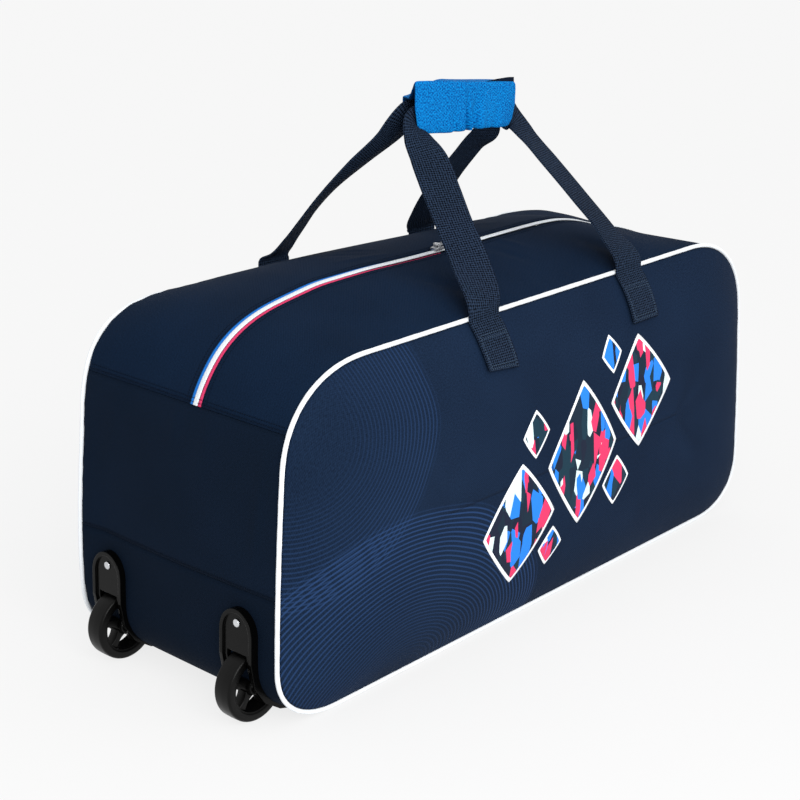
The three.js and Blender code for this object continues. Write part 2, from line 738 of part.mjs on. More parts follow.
// The wrap: a padded sleeve with a rounded section, open at both ends
function buildWrap() {
  const sides = 20;
  const lengths = [0, 0.06, 0.3, 0.5, 0.7, 0.94, 1];
  const ring = (share, inset) => {
    const flare = Math.abs(share - 0.5) > 0.49 ? -1 : 0;
    const height = wrap.nearHeight + (wrap.farHeight - wrap.nearHeight) * share;
    const centre = wrapCentre(share);
    return (k) => {
      const angle = (2 * Math.PI * k) / sides;
      const c = Math.cos(angle);
      const s = Math.sin(angle);
      const y = Math.sign(c) * Math.abs(c) ** 0.5 * (wrap.depth / 2 + flare - inset);
      const z = Math.sign(s) * Math.abs(s) ** 0.5 * (height / 2 + flare - inset);
      const cut = clamp01((-s - wrapCut.above) / (1 - wrapCut.above)) ** 1.5;
      const x = cut * (wrapCut.near * (1 - share) - wrapCut.far * share);
      return new THREE.Vector3(centre.x + x, centre.y + y, centre.z + z);
    };
  };
  const grid = (inset) => {
    const rings = lengths.map((share) => ring(share, inset));
    return Array.from({ length: sides }, (_, k) => rings.map((at) => at(k)));
  };
  addMesh("handle_wrap", wallBetween(grid(0), grid(wrap.wall), { ring: true }), blueWrapCloth);
}

// The zip's slider, with a bar across it that carries the pull

function sliderPlace() {
  const distance = halfLoop - slider.along;
  const seat = zipStand + seamGap;
  return { distance, seat, point: stripPoint(distance, zipOffset, seat), out: outwardAt(distance) };
}

function buildSlider() {
  const place = sliderPlace();
  const bodyHigh = slider.high;
  const corner = new THREE.Vector3(slider.long / 2, slider.wide / 2, 0);
  const body = boxBetween(corner.clone().negate(), corner.clone().setZ(bodyHigh));
  const barZ = bodyHigh + sliderBar.rise;
  const earInner = pull.wide / 2 + seamGap;
  let form = solid(body);
  for (const side of [-1, 1]) {
    const y = side * (earInner + sliderBar.earThick / 2);
    const ear = boxBetween(
      new THREE.Vector3(-2, y - sliderBar.earThick / 2, bodyHigh - 1),
      new THREE.Vector3(2, y + sliderBar.earThick / 2, barZ + 1.4),
    );
    form = form.add(solid(ear));
  }
  const barLength = 2 * earInner + sliderBar.earThick;
  form = form.add(solid(cylinderAlongY(sliderBar.radius, barLength, 10, 0, 0, barZ)));
  const mesh = addMesh("zip_slider", geometryOf(form), brightMetal);
  mesh.position.copy(place.point);

  const eye = solid(cylinderAlongY(pull.eye, pull.wide, 12, 0, 0, 0));
  const blade = boxBetween(
    new THREE.Vector3(pull.eye * 0.5, -pull.wide / 2, -pull.thick / 2),
    new THREE.Vector3(pull.long, pull.wide / 2, pull.thick / 2),
  );
  const tip = new THREE.CylinderGeometry(pull.tipHole, pull.tipHole, pull.thick * 3, 12);
  tip.rotateX(Math.PI / 2);
  tip.translate(pull.long - pull.wide / 2, 0, 0);
  const hole = solid(cylinderAlongY(sliderBar.radius + seamGap, pull.wide + 2, 12, 0, 0, 0));
  const pullForm = eye.add(solid(blade)).subtract(hole).subtract(solid(tip));
  const pullMesh = addMesh("zip_pull", geometryOf(pullForm), brightMetal);
  pullMesh.position.copy(place.point).add(new THREE.Vector3(0, 0, barZ));
}

// The whole bag

buildPanel("front_panel", -1);
buildPanel("back_panel", 1);
buildPiping("front_piping", -1);
buildPiping("back_piping", 1);
buildTop();
buildEnds();
buildBase();
for (const [place, side] of [["front", -1], ["back", 1]]) {
  buildHousing(`wheel_housing_${place}`, side);
  buildRivet(`housing_rivet_${place}`, side);
  buildWheel(`wheel_${place}`, side);
  buildAxle(`axle_${place}`, side);
}
addMesh("handle_front", strapGeometry(strapSections(-1, legRows.frontNear, legRows.frontFar)), webbing);
addMesh("handle_back", strapGeometry(strapSections(1, legRows.backNear, legRows.backFar)), webbing);
buildWrap();
buildSlider();

// The origin is under the middle of the whole bag, on the floor it stands on
const bounds = new THREE.Box3().setFromObject(group);
group.position.set(-(bounds.min.x + bounds.max.x) / 2, -(bounds.min.y + bounds.max.y) / 2, -bounds.min.z);

export default group;
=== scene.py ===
# %% [markdown]
# # A wheeled cricket kit bag
# This lesson dresses a plain CAD model of a soft kit bag on wheels. The CAD model is loaded as a fixed
# frame. Every soft piece is then made again as a smooth surface worked out with numpy, and every hard
# piece gets rounded edges and a finish of its own.

import json

import bmesh
import bpy
import numpy as np
from mathutils import Matrix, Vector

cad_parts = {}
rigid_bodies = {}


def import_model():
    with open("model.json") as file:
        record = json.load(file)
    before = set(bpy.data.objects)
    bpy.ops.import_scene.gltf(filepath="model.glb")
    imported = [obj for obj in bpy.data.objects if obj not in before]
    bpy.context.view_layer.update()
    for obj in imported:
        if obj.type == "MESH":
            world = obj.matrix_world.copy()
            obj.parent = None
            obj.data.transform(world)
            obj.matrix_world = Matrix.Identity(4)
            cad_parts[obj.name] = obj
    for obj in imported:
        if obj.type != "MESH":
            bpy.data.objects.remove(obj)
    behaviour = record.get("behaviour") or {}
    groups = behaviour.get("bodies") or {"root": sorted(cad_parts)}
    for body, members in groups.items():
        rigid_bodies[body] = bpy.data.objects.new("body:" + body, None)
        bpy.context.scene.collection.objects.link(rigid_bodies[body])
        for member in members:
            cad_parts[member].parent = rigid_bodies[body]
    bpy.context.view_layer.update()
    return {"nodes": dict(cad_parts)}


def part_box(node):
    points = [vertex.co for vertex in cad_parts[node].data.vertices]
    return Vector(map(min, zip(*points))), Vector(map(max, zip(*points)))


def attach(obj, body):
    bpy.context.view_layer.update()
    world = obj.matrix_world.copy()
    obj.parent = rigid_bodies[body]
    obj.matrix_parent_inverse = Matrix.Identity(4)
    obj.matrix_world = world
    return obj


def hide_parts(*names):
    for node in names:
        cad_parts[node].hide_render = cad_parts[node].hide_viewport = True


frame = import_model()

# %% [markdown]
# The lesson measures the bag in millimetres from the middle of its base, at the height of the lower
# piping. The frame measures in metres from the floor, under the middle of the whole bag. Two CAD pieces
# whose places are known in both show how far apart the two origins are.

# %% Units and the two origins
MM = 0.001
WHEEL_X, WHEEL_Y, WHEEL_Z = -414.0, 104.0, 35.5
BASE_DROP = 3.5

wheel_low, wheel_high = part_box("wheel_front")
base_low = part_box("base_panel")[0]
origin = np.array([(wheel_low[0] + wheel_high[0]) / 2 / MM - WHEEL_X, 0.0, base_low[2] / MM + BASE_DROP])
print("origin of the bag in the frame, mm:", origin)


def in_frame(points):
    """Points of the bag, in millimetres, as points of the frame, in metres: the shift, then the scale."""
    return (np.asarray(points, float) + origin) * MM


# %% [markdown]
# The camera stands where the photographer stood: about two metres off, above the wheel end's front
# corner, looking down by 19 degrees. Its three axes are written as rows, and the lens is a long one.

# %% Camera
CAMERA_PLACE = np.array([-1498.855, -1315.313, 905.429])
CAMERA_RIGHT = np.array([0.677087, -0.735901, -0.001481])
CAMERA_DOWN = np.array([-0.241864, -0.220632, -0.944893])
CAMERA_AHEAD = np.array([0.695021, 0.640134, -0.327375])

camera_data = bpy.data.cameras.new("camera")
camera_data.lens = 79.012
camera_data.sensor_width = 36.0
camera_data.clip_end = 50.0
camera = bpy.data.objects.new("camera", camera_data)
matrix = np.eye(4)
matrix[:3, 0] = CAMERA_RIGHT
matrix[:3, 1] = -CAMERA_DOWN
matrix[:3, 2] = -CAMERA_AHEAD
matrix[:3, 3] = in_frame(CAMERA_PLACE)
camera.matrix_world = Matrix(matrix.tolist())
bpy.context.scene.collection.objects.link(camera)
bpy.context.scene.camera = camera
print("camera", camera.name, "at", [round(v, 3) for v in camera.location])

# %% [markdown]
# Every new piece is a grid of points. This step turns such a grid into a mesh. The faces join each point
# to its neighbours, a ring grid also joins its last row to its first, and each face corner gets a UV
# place in metres along the two directions of the grid, so that a weave has the same size everywhere.

# %% From grids to meshes
def crossed(rows, columns):
    """Two arrays over a grid: the value of each point's row, and that of its column."""
    return np.meshgrid(rows, columns, indexing="ij")


def unit(vectors):
    """Vectors scaled to a length of one."""
    return vectors / np.linalg.norm(vectors, axis=-1, keepdims=True)


def new_object(name, mesh, material, body, replaces):
    """An object with a mesh, a material, and its place in the frame's table."""
    thing = bpy.data.objects.new(name, mesh)
    bpy.context.scene.collection.objects.link(thing)
    mesh.materials.append(material)
    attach(thing, body)
    if replaces:
        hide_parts(*replaces)
    return thing


def mesh_of(name, points, faces, corner_uv=None):
    """A smooth mesh from points in bag millimetres, faces as rows of indices, and one UV pair a corner."""
    mesh = bpy.data.meshes.new(name)
    mesh.from_pydata(in_frame(points).tolist(), [], faces.tolist())
    mesh.polygons.foreach_set("use_smooth", np.ones(len(mesh.polygons), bool))
    if corner_uv is not None:
        layer = mesh.uv_layers.new(name="cloth")
        layer.data.foreach_set("uv", corner_uv.reshape(-1).astype(np.float32))
    mesh.update()
    return mesh


def grid_faces(rows, columns, ring_rows=False, ring_columns=False):
    """The four corners of each face of a grid, as row and column numbers before they wrap round."""
    i = np.arange(rows if ring_rows else rows - 1)
    j = np.arange(columns if ring_columns else columns - 1)
    i, j = (a.ravel() for a in crossed(i, j))
    corner_i = np.stack([i, i, i + 1, i + 1], 1)
    corner_j = np.stack([j, j + 1, j + 1, j], 1)
    return corner_i, corner_j


def mean_lengths(grid, axis, ring):
    """The mean distance from the first row to each next one, in millimetres, over the whole grid."""
    closed = np.concatenate([grid, np.take(grid, [0], axis)], axis) if ring else grid
    steps = np.linalg.norm(np.diff(closed, axis=axis), axis=2).mean(1 - axis)
    return np.concatenate([[0.0], np.cumsum(steps)])


def grid_mesh(name, grid, ring_rows=False, ring_columns=False, flip=False):
    """A mesh through a grid of points, with a UV map in metres."""
    rows, columns = grid.shape[:2]
    corner_i, corner_j = grid_faces(rows, columns, ring_rows, ring_columns)
    along = mean_lengths(grid, 0, ring_rows) * MM
    across = mean_lengths(grid, 1, ring_columns) * MM
    uv = np.stack([along[corner_i], across[corner_j]], 2)
    faces = (corner_i % rows) * columns + corner_j % columns
    if flip:
        faces = faces[:, ::-1]
        uv = uv[:, ::-1]
    return mesh_of(name, grid.reshape(-1, 3), faces, uv)


def full_turn(count):
    """Evenly spaced angles round a circle, from 0 to just short of a whole turn."""
    return np.linspace(0, 2 * np.pi, count, endpoint=False)


def lengths_along(points):
    """The distance along a path from its first point to each."""
    return np.concatenate([[0], np.cumsum(np.linalg.norm(np.diff(points, axis=0), axis=1))])


def look_up(at, places, rows):
    """Rows of three values known at places, read at other places in between."""
    return np.stack([np.interp(at, places, rows[:, k]) for k in range(3)], 1)


def weld(mesh):
    """Joins the points that share one place, as the drawn-in ends of a tube do."""
    loose = bmesh.new()
    loose.from_mesh(mesh)
    bmesh.ops.remove_doubles(loose, verts=loose.verts, dist=1e-7)
    loose.to_mesh(mesh)
    loose.free()
    return mesh


def thicken(thing, thickness, offset=-1.0):
    """Gives a surface a wall. With an offset of -1 the wall grows inwards from the surface."""
    wall = thing.modifiers.new("wall", "SOLIDIFY")
    wall.thickness = thickness * MM
    wall.offset = offset
    wall.use_even_offset = False
    return thing


told = {thing.name for thing in bpy.data.objects}


def tell():
    """Print the pieces made since the last call, with their numbers of faces."""
    for thing in bpy.data.objects:
        if thing.type == "MESH" and thing.name not in told:
            told.add(thing.name)
            print("made", thing.name, "with", len(thing.data.polygons), "faces")


print("a grid of 3 by 4 points has", len(grid_faces(3, 4, False, False)[0]), "faces")


# %% [markdown]
# Woven cloth is threads that pass over and under each other. At the size of this bag one sees a fine
# grain with slightly lighter and darker threads. The group below makes that grain from two crossing
# waves, unevened by noise, and hands out a tone for the colour and a height for the bump.

# %% Shader groups
def feed(tree, socket, value):
    """Sets a socket to a number or a colour, or links another socket to it."""
    if isinstance(value, (tuple, list, float, int)):
        socket.default_value = value
    else:
        tree.links.new(value, socket)


def maths(tree, operation, *values, clamp=False):
    """One step of arithmetic on sockets or numbers."""
    node = tree.nodes.new("ShaderNodeMath")
    node.operation = operation
    node.use_clamp = clamp
    for socket, value in zip(node.inputs, values):
        feed(tree, socket, value)
    return node.outputs[0]


def new_group(name, inputs, outputs):
    """An empty node group with named inputs (name, kind, value) and outputs (name, kind)."""
    group = bpy.data.node_groups.new(name, "ShaderNodeTree")
    for label, kind, value in inputs:
        socket = group.interface.new_socket(label, in_out="INPUT", socket_type=kind)
        if value is not None:
            socket.default_value = value
    for label, kind in outputs:
        group.interface.new_socket(label, in_out="OUTPUT", socket_type=kind)
    return group, group.nodes.new("NodeGroupInput"), group.nodes.new("NodeGroupOutput")


VECTOR, FLOAT = "NodeSocketVector", "NodeSocketFloat"


def noise(tree, vector, scale, detail=2.0):
    """A noise value that reads a vector in metres."""
    node = tree.nodes.new("ShaderNodeTexNoise")
    tree.links.new(vector, node.inputs["Vector"])
    feed(tree, node.inputs["Scale"], scale)
    node.inputs["Detail"].default_value = detail
    return node.outputs["Fac"]


def build_weave():
    """Height = 1/2 + 1/2 sin(along) sin(across), so threads pass over and under; with Rows at 1 it is
    1/2 + 1/4 (sin(along) + sin(across)), so the dots stand in rows. The tone adds slubs and fade."""
    group, given, out = new_group(
        "woven threads",
        [("Vector", VECTOR, None), ("Along", FLOAT, 800.0), ("Across", FLOAT, 800.0), ("Slub", FLOAT, 0.4),
         ("Weave", FLOAT, 0.35), ("Rows", FLOAT, 0.0)],
        [("Tone", FLOAT), ("Height", FLOAT)],
    )
    split = group.nodes.new("ShaderNodeSeparateXYZ")
    group.links.new(given.outputs["Vector"], split.inputs[0])
    waves = []
    for axis, count in ((0, "Along"), (1, "Across")):
        turns = maths(group, "MULTIPLY", split.outputs[axis], given.outputs[count])
        waves.append(maths(group, "SINE", maths(group, "MULTIPLY", turns, np.pi)))
    product = maths(group, "MULTIPLY", waves[0], waves[1])
    summed = maths(group, "MULTIPLY", maths(group, "ADD", waves[0], waves[1]), 0.5)
    change = maths(group, "MULTIPLY", maths(group, "SUBTRACT", summed, product), given.outputs["Rows"])
    height = maths(group, "MULTIPLY_ADD", maths(group, "ADD", product, change), 0.5, 0.5)
    slub = noise(group, given.outputs["Vector"], 520.0, 3.0)
    fade = noise(group, given.outputs["Vector"], 9.0, 2.0)
    rough = maths(group, "MULTIPLY", maths(group, "SUBTRACT", slub, 0.5), given.outputs["Slub"])
    threads = maths(group, "MULTIPLY", maths(group, "SUBTRACT", height, 0.5), given.outputs["Weave"])
    tone = maths(group, "ADD", threads, rough)
    tone = maths(group, "ADD", tone, maths(group, "MULTIPLY", maths(group, "SUBTRACT", fade, 0.5), 0.5))
    group.links.new(maths(group, "ADD", tone, 0.5, clamp=True), out.inputs["Tone"])
    group.links.new(maths(group, "ADD", height, rough), out.inputs["Height"])
    return group


weave_group = build_weave()


def build_speckle():
    """Moulded plastic: a fine grain of bumps, and a slow change that makes some places glossier."""
    group, given, out = new_group(
        "moulded grain",
        [("Vector", VECTOR, None), ("Grain", FLOAT, 2500.0)],
        [("Height", FLOAT), ("Gloss", FLOAT)],
    )
    group.links.new(noise(group, given.outputs["Vector"], given.outputs["Grain"], 2.0), out.inputs["Height"])
    group.links.new(noise(group, given.outputs["Vector"], 35.0, 3.0), out.inputs["Gloss"])
    return group


grain_group = build_speckle()
print("shader groups:", [group.name for group in bpy.data.node_groups])


# %% [markdown]
# A material is a Principled shader with a colour, a roughness and a bump. The cloths share one recipe, in
# which only the colours and the thread counts differ, and the hard pieces share another. The top, the ends
# and the lower end bands wear copies of the panels' navy cloth that are painted darker, as painted shade.

# %% Material recipes
def colour(red, green, blue):
    """A colour given as it looks on a screen, 0 to 255, as the linear values that Blender computes with."""
    c = np.array([red, green, blue]) / 255.0
    linear = np.where(c <= 0.04045, c / 12.92, ((c + 0.055) / 1.055) ** 2.4)
    return (*linear.tolist(), 1.0)


def start_material(name, roughness, specular):
    """A new material with its Principled shader and its node tree."""
    material = bpy.data.materials.new(name)
    material.use_nodes = True
    tree = material.node_tree
    shader = tree.nodes["Principled BSDF"]
    shader.inputs["Roughness"].default_value = roughness
    shader.inputs["Specular IOR Level"].default_value = specular
    return material, tree, shader


def mix_colours(tree, factor, first, second):
    """A colour between two, which are colours or sockets."""
    node = tree.nodes.new("ShaderNodeMix")
    node.data_type = "RGBA"
    for socket, value in ((node.inputs[0], factor), (node.inputs[6], first), (node.inputs[7], second)):
        feed(tree, socket, value)
    return node.outputs[2]


def add_bump(tree, shader, height, distance, strength):
    """A bump node on the shader's normal."""
    bump = tree.nodes.new("ShaderNodeBump")
    bump.inputs["Distance"].default_value = distance
    bump.inputs["Strength"].default_value = strength
    tree.links.new(height, bump.inputs["Height"])
    tree.links.new(bump.outputs[0], shader.inputs["Normal"])
    return bump


def use_group(tree, group, vector, **settings):
    """A shader group placed in a material, with its vector and its settings."""
    node = tree.nodes.new("ShaderNodeGroup")
    node.node_tree = group
    tree.links.new(vector, node.inputs["Vector"])
    for label, value in settings.items():
        node.inputs[label].default_value = value
    return node.outputs


def object_place(tree):
    """The place on the piece, in metres from its origin."""
    return tree.nodes.new("ShaderNodeTexCoord").outputs["Object"]


def cloth_vector(tree):
    """The piece's own cloth map, as a vector in metres."""
    uv = tree.nodes.new("ShaderNodeUVMap")
    uv.uv_map = "cloth"
    return uv.outputs[0]


def cloth_material(name, dark, light, along=800.0, across=800.0, slub=0.5, roughness=0.9, specular=0.06,
                   distance=0.0003, strength=0.5, weave=0.35, dot_rows=0.0):
    """Woven cloth between a dark and a light thread colour."""
    material, tree, shader = start_material(name, roughness, specular)
    threads = use_group(tree, weave_group, cloth_vector(tree), Along=along, Across=across, Slub=slub,
                        Weave=weave, Rows=dot_rows)
    tree.links.new(mix_colours(tree, threads["Tone"], dark, light), shader.inputs["Base Color"])
    add_bump(tree, shader, threads["Height"], distance, strength)
    return material


EDGE_RADIUS, GRAIN_BUMP = 0.0011, 0.15


def hard_material(name, dark, light, roughness, specular=0.4, metallic=0.0, grain=2500.0):
    """Moulded plastic or cast metal, with a fine grain and patches that are a little glossier."""
    material, tree, shader = start_material(name, roughness, specular)
    speckle = use_group(tree, grain_group, object_place(tree), Grain=grain)
    gloss = maths(tree, "MULTIPLY_ADD", speckle["Gloss"], 0.2, roughness - 0.1)
    tree.links.new(gloss, shader.inputs["Roughness"])
    tree.links.new(mix_colours(tree, speckle["Gloss"], dark, light), shader.inputs["Base Color"])
    shader.inputs["Metallic"].default_value = metallic
    bump_node = add_bump(tree, shader, speckle["Height"], 0.0002, GRAIN_BUMP)
    soft_edge = tree.nodes.new("ShaderNodeBevel")
    soft_edge.samples = 6
    soft_edge.inputs["Radius"].default_value = EDGE_RADIUS
    tree.links.new(soft_edge.outputs[0], bump_node.inputs["Normal"])
    return material


# One navy cloth in four copies: the top, end and band copies are painted darker than the panels' as painted
# shade, the bands darkest.
panel_cloth = cloth_material("panel cloth", colour(8, 19, 35), colour(23, 40, 64), slub=1.2)
top_cloth_painted_shade = cloth_material("top cloth", colour(3, 15, 31), colour(15, 34, 58), slub=1.0)
end_cloth_painted_shade = cloth_material("end cloth", colour(3, 13, 25), colour(13, 27, 46), slub=1.0)
band_cloth_painted_shade = cloth_material("band cloth", colour(2, 10, 21), colour(11, 24, 41), slub=1.0)
under_cloth = cloth_material("under cloth", colour(6, 8, 14), colour(14, 17, 26))
webbing_cloth = cloth_material(
    "webbing", colour(0, 2, 7), colour(38, 52, 73), 740.0, 700.0, 2.6, 0.85, 0.05, 0.0007, 0.9, 1.5, 1.0
)
piping_cloth = cloth_material(
    "piping", colour(206, 211, 217), colour(240, 243, 246), 600.0, 600.0, 0.2, 0.55, 0.3, 0.0002, 0.3
)
wrap_cloth = cloth_material(
    "wrap cloth", colour(0, 62, 132), colour(6, 134, 208), 420.0, 560.0, 2.8, 0.8, 0.06, 0.0006, 0.8, 0.4
)
wrap_lining = cloth_material("wrap lining", colour(0, 34, 74), colour(6, 62, 112), 600.0, 600.0)
binding_cloth = cloth_material("binding", colour(6, 13, 26), colour(13, 24, 42), 600.0, 600.0)
blue_tape = cloth_material("blue tape", colour(14, 84, 168), colour(42, 124, 208), 700.0, 700.0, 0.4)
pink_tape = cloth_material("pink tape", colour(176, 34, 78), colour(222, 74, 116), 700.0, 700.0, 0.4)
coil_white = cloth_material(
    "zip coil", colour(184, 192, 200), colour(232, 236, 240), 400.0, 400.0, 0.2, 0.5, 0.3
)
black_plastic = hard_material("black plastic", colour(2, 2, 2), colour(4, 4, 4), 0.2, 0.11)
wheel_rubber = hard_material("wheel rubber", colour(4, 4, 4), colour(9, 9, 9), 0.34, 0.13, grain=1500.0)
bright_metal = hard_material("bright metal", colour(190, 192, 196), colour(225, 227, 230), 0.3, 0.5, 1.0)
thread_web = hard_material("strap thread", colour(48, 62, 80), colour(74, 92, 112), 0.8, 0.05)
thread_navy = hard_material("stitch thread", colour(5, 12, 24), colour(12, 24, 42), 0.8, 0.05)
print("materials:", [material.name for material in bpy.data.materials])

# %% [markdown]
# The front panel has a tone-on-tone print at its wheel end: two families of fine ripples, a little
# lighter than the cloth. The shader measures the distance to a centre, draws a thin line at every few
# millimetres of it, and lets the lines fade out towards the edge of each family. The same cloth recipe
# is used below it.

# %% Ripples and facets
def distance_to(tree, place, centre):
    """The distance, in metres, of a place on the panel to a centre given as (x, z)."""
    split = tree.nodes.new("ShaderNodeSeparateXYZ")
    tree.links.new(place, split.inputs[0])
    join = tree.nodes.new("ShaderNodeCombineXYZ")
    tree.links.new(maths(tree, "SUBTRACT", split.outputs[0], centre[0]), join.inputs[0])
    tree.links.new(maths(tree, "SUBTRACT", split.outputs[2], centre[1]), join.inputs[1])
    length = tree.nodes.new("ShaderNodeVectorMath")
    length.operation = "LENGTH"
    tree.links.new(join.outputs[0], length.inputs[0])
    return length.outputs["Value"]


def smooth_range(tree, value, low, high):
    """0 below low and 1 above high, or the other way round where low is the larger."""
    node = tree.nodes.new("ShaderNodeMapRange")
    node.interpolation_type = "SMOOTHSTEP"
    flip = low > high
    ends = (min(low, high), max(low, high), float(flip), float(not flip))
    for socket, amount in zip(node.inputs[1:5], ends):
        socket.default_value = amount
    tree.links.new(value, node.inputs[0])
    return node.outputs[0]


def build_ripples():
    """Lines = the peaks of a sine of the distance to a centre; the mask keeps them inside a ring."""
    group, given, out = new_group(
        "ripples",
        [("Vector", VECTOR, None), ("Pitch", FLOAT, 0.005)],
        [("Lines", FLOAT)],
    )
    place = given.outputs["Vector"]
    families = []
    # centre x and z, ring from and to, strength
    rings = (((-0.245, -0.02), 0.03, 0.235, 1.0), ((-0.40, 0.33), 0.05, 0.20, 0.55))
    for centre, inner, outer, strength in rings:
        reach = distance_to(group, place, centre)
        bend = maths(group, "MULTIPLY", maths(group, "SUBTRACT", noise(group, place, 7.0, 1.0), 0.5), 0.03)
        bent = maths(group, "ADD", reach, bend)
        turns = maths(group, "DIVIDE", bent, given.outputs["Pitch"])
        wave = maths(group, "SINE", maths(group, "MULTIPLY", turns, 2 * np.pi))
        line = smooth_range(group, wave, 0.1, 0.9)
        mask = maths(group, "MULTIPLY", smooth_range(group, bent, inner, inner + 0.05),
                     smooth_range(group, bent, outer, outer - 0.012))
        swath = maths(group, "MULTIPLY_ADD", smooth_range(group, bent, inner, outer), 0.75, 0.25)
        mask = maths(group, "MULTIPLY", maths(group, "MULTIPLY", mask, swath), strength)
        families.append(maths(group, "MULTIPLY", line, mask))
    group.links.new(maths(group, "ADD", *families, clamp=True), out.inputs["Lines"])
    return group


ripple_group = build_ripples()


def front_material():
    """The panel's cloth with the ripples laid over its colour."""
    material = panel_cloth.copy()
    material.name = "printed panel cloth"
    tree = material.node_tree
    shader = tree.nodes["Principled BSDF"]
    under = shader.inputs["Base Color"].links[0].from_socket
    ripples = use_group(tree, ripple_group, object_place(tree))
    share = maths(tree, "MULTIPLY", ripples["Lines"], 0.5)
    tree.links.new(mix_colours(tree, share, under, colour(44, 72, 118)), shader.inputs["Base Color"])
    return material


def facet_layer(tree, place, turn, scale, stretch):
    """Random values of long slanted cells: the place is turned, stretched and split by a Voronoi texture."""
    mapping = tree.nodes.new("ShaderNodeMapping")
    mapping.inputs["Rotation"].default_value = (0, turn, 0)
    mapping.inputs["Scale"].default_value = (scale * stretch, 0, scale)
    tree.links.new(place, mapping.inputs["Vector"])
    cells = tree.nodes.new("ShaderNodeTexVoronoi")
    cells.inputs["Scale"].default_value = 1.0
    tree.links.new(mapping.outputs[0], cells.inputs["Vector"])
    split = tree.nodes.new("ShaderNodeSeparateColor")
    tree.links.new(cells.outputs["Color"], split.inputs[0])
    return split.outputs[0]


def stepped(tree, value, stops):
    """A colour ramp without blending: (from, colour) pairs."""
    ramp = tree.nodes.new("ShaderNodeValToRGB")
    ramp.color_ramp.interpolation = "CONSTANT"
    elements = ramp.color_ramp.elements
    while len(elements) < len(stops):
        elements.new(1.0)
    for element, (start, shade) in zip(elements, stops):
        element.position, element.color = start, shade
    tree.links.new(value, ramp.inputs[0])
    return ramp.outputs[0]


def facet_material():
    """Flat printed facets: dark teal and navy cells, crossed by fewer bright ones."""
    material, tree, shader = start_material("facet print", 0.6, 0.15)
    place = object_place(tree)
    teal, navy, deep = colour(10, 46, 62), colour(13, 24, 46), colour(8, 32, 50)
    pink, blue, pale = colour(214, 52, 98), colour(32, 122, 222), colour(206, 228, 230)
    steps = [(0.0, teal), (0.34, navy), (0.62, deep), (0.9, blue)]
    ground = stepped(tree, facet_layer(tree, place, 0.5, 34, 2.4), steps)
    over = facet_layer(tree, place, -0.75, 30, 3.2)
    bright = stepped(tree, over, [(0.0, pink), (0.17, blue), (0.32, pale), (0.37, teal)])
    third = facet_layer(tree, place, 1.15, 42, 2.2)
    spark = stepped(tree, third, [(0.0, blue), (0.08, pink), (0.16, pale), (0.19, navy)])
    first = mix_colours(tree, maths(tree, "LESS_THAN", over, 0.37), ground, bright)
    second = mix_colours(tree, maths(tree, "LESS_THAN", third, 0.19), first, spark)
    tree.links.new(second, shader.inputs["Base Color"])
    add_bump(tree, shader, noise(tree, place, 900.0), 0.0002, 0.25)
    return material


printed_cloth = front_material()
facet_print = facet_material()
white_print = cloth_material(
    "white print", colour(222, 227, 232), colour(246, 249, 252), 900.0, 900.0, 0.2, 0.6, 0.2
)
print("the print's materials are", facet_print.name, "and", white_print.name)

# %% [markdown]
# All the cloth strips follow one closed line, the piping seen from the front: a long box with rounded
# corners whose ends lean out towards the floor. The line is worked out once as a dense list of points
# with the distance to each, and every other shape looks its places up in it.

# %% The outline of the bag
BAG_HEIGHT = 375.0
BAG_DEPTH = 309.0
TOP_HALF = 398.0
END_LEAN, END_LEAN_POWER = 25.0, 1.7
TOP_CORNER = (112.0, 102.0, 2.35)
BOTTOM_CORNER = (86.0, 70.0, 2.25)
PIPING = 2.5
HALF_DEPTH = BAG_DEPTH / 2


def half_length(z):
    """Half the bag's length at a height: the ends lean out towards the floor."""
    return TOP_HALF + END_LEAN * (1 - (np.clip(z, 0, BAG_HEIGHT) / BAG_HEIGHT) ** END_LEAN_POWER)


def corner(turn, power):
    """A squarish quarter ellipse, from (0, 1) at turn 0 to (1, 0) at turn 1."""
    angle = turn * np.pi / 2
    return np.sin(angle) ** (2 / power), np.cos(angle) ** (2 / power)


def build_outline():
    """Points and distances all round, from the middle of the base over the far end and the top."""
    turn = np.linspace(0, 1, 121)
    across, up = corner(turn, BOTTOM_CORNER[2])
    z_low = BOTTOM_CORNER[1] * (1 - up)
    x_low = half_length(z_low) - BOTTOM_CORNER[0] * (1 - across)
    z_end = np.linspace(BOTTOM_CORNER[1], BAG_HEIGHT - TOP_CORNER[1], 121)[1:]
    x_end = half_length(z_end)
    across, up = corner(1 - turn[1:], TOP_CORNER[2])
    z_top = BAG_HEIGHT - TOP_CORNER[1] * (1 - up)
    x_top = half_length(z_top) - TOP_CORNER[0] * (1 - across)
    x = np.concatenate([[0], x_low, x_end, x_top, [0]])
    z = np.concatenate([[0], z_low, z_end, z_top, [BAG_HEIGHT]])
    x = np.concatenate([x, -x[-2::-1]])
    z = np.concatenate([z, z[-2::-1]])
    distance = np.concatenate([[0], np.cumsum(np.hypot(np.diff(x), np.diff(z)))])
    return distance, x, z


line_distance, line_x, line_z = build_outline()
WHOLE = line_distance[-1]
print("outline", round(WHOLE), "mm long")


def outline(distance):
    """The outline's x and z at distances round it."""
    d = np.mod(distance, WHOLE)
    return np.interp(d, line_distance, line_x), np.interp(d, line_distance, line_z)


def outward(distance, reach=3.0):
    """The direction, in x and z, that points out of the outline."""
    x0, z0 = outline(distance - reach)
    x1, z1 = outline(distance + reach)
    length = np.hypot(x1 - x0, z1 - z0)
    return (z1 - z0) / length, -(x1 - x0) / length


def distance_at(height):
    """The distance round the outline at which the far end has a height."""
    end = (line_distance > line_distance[1]) & (line_distance < WHOLE / 2)
    return float(np.interp(height, line_z[end], line_distance[end]))


# %% [markdown]
# A soft bag is never a true box. Two kinds of unevenness are shared by all its pieces, so that seams stay
# together. The back of the bag is pushed out at the wheel end, where kit has filled its corner, and sinks
# a little at the far end; the far shoulder is pressed in at the front and pushed out at the back. And the
# cloth has long soft swells.

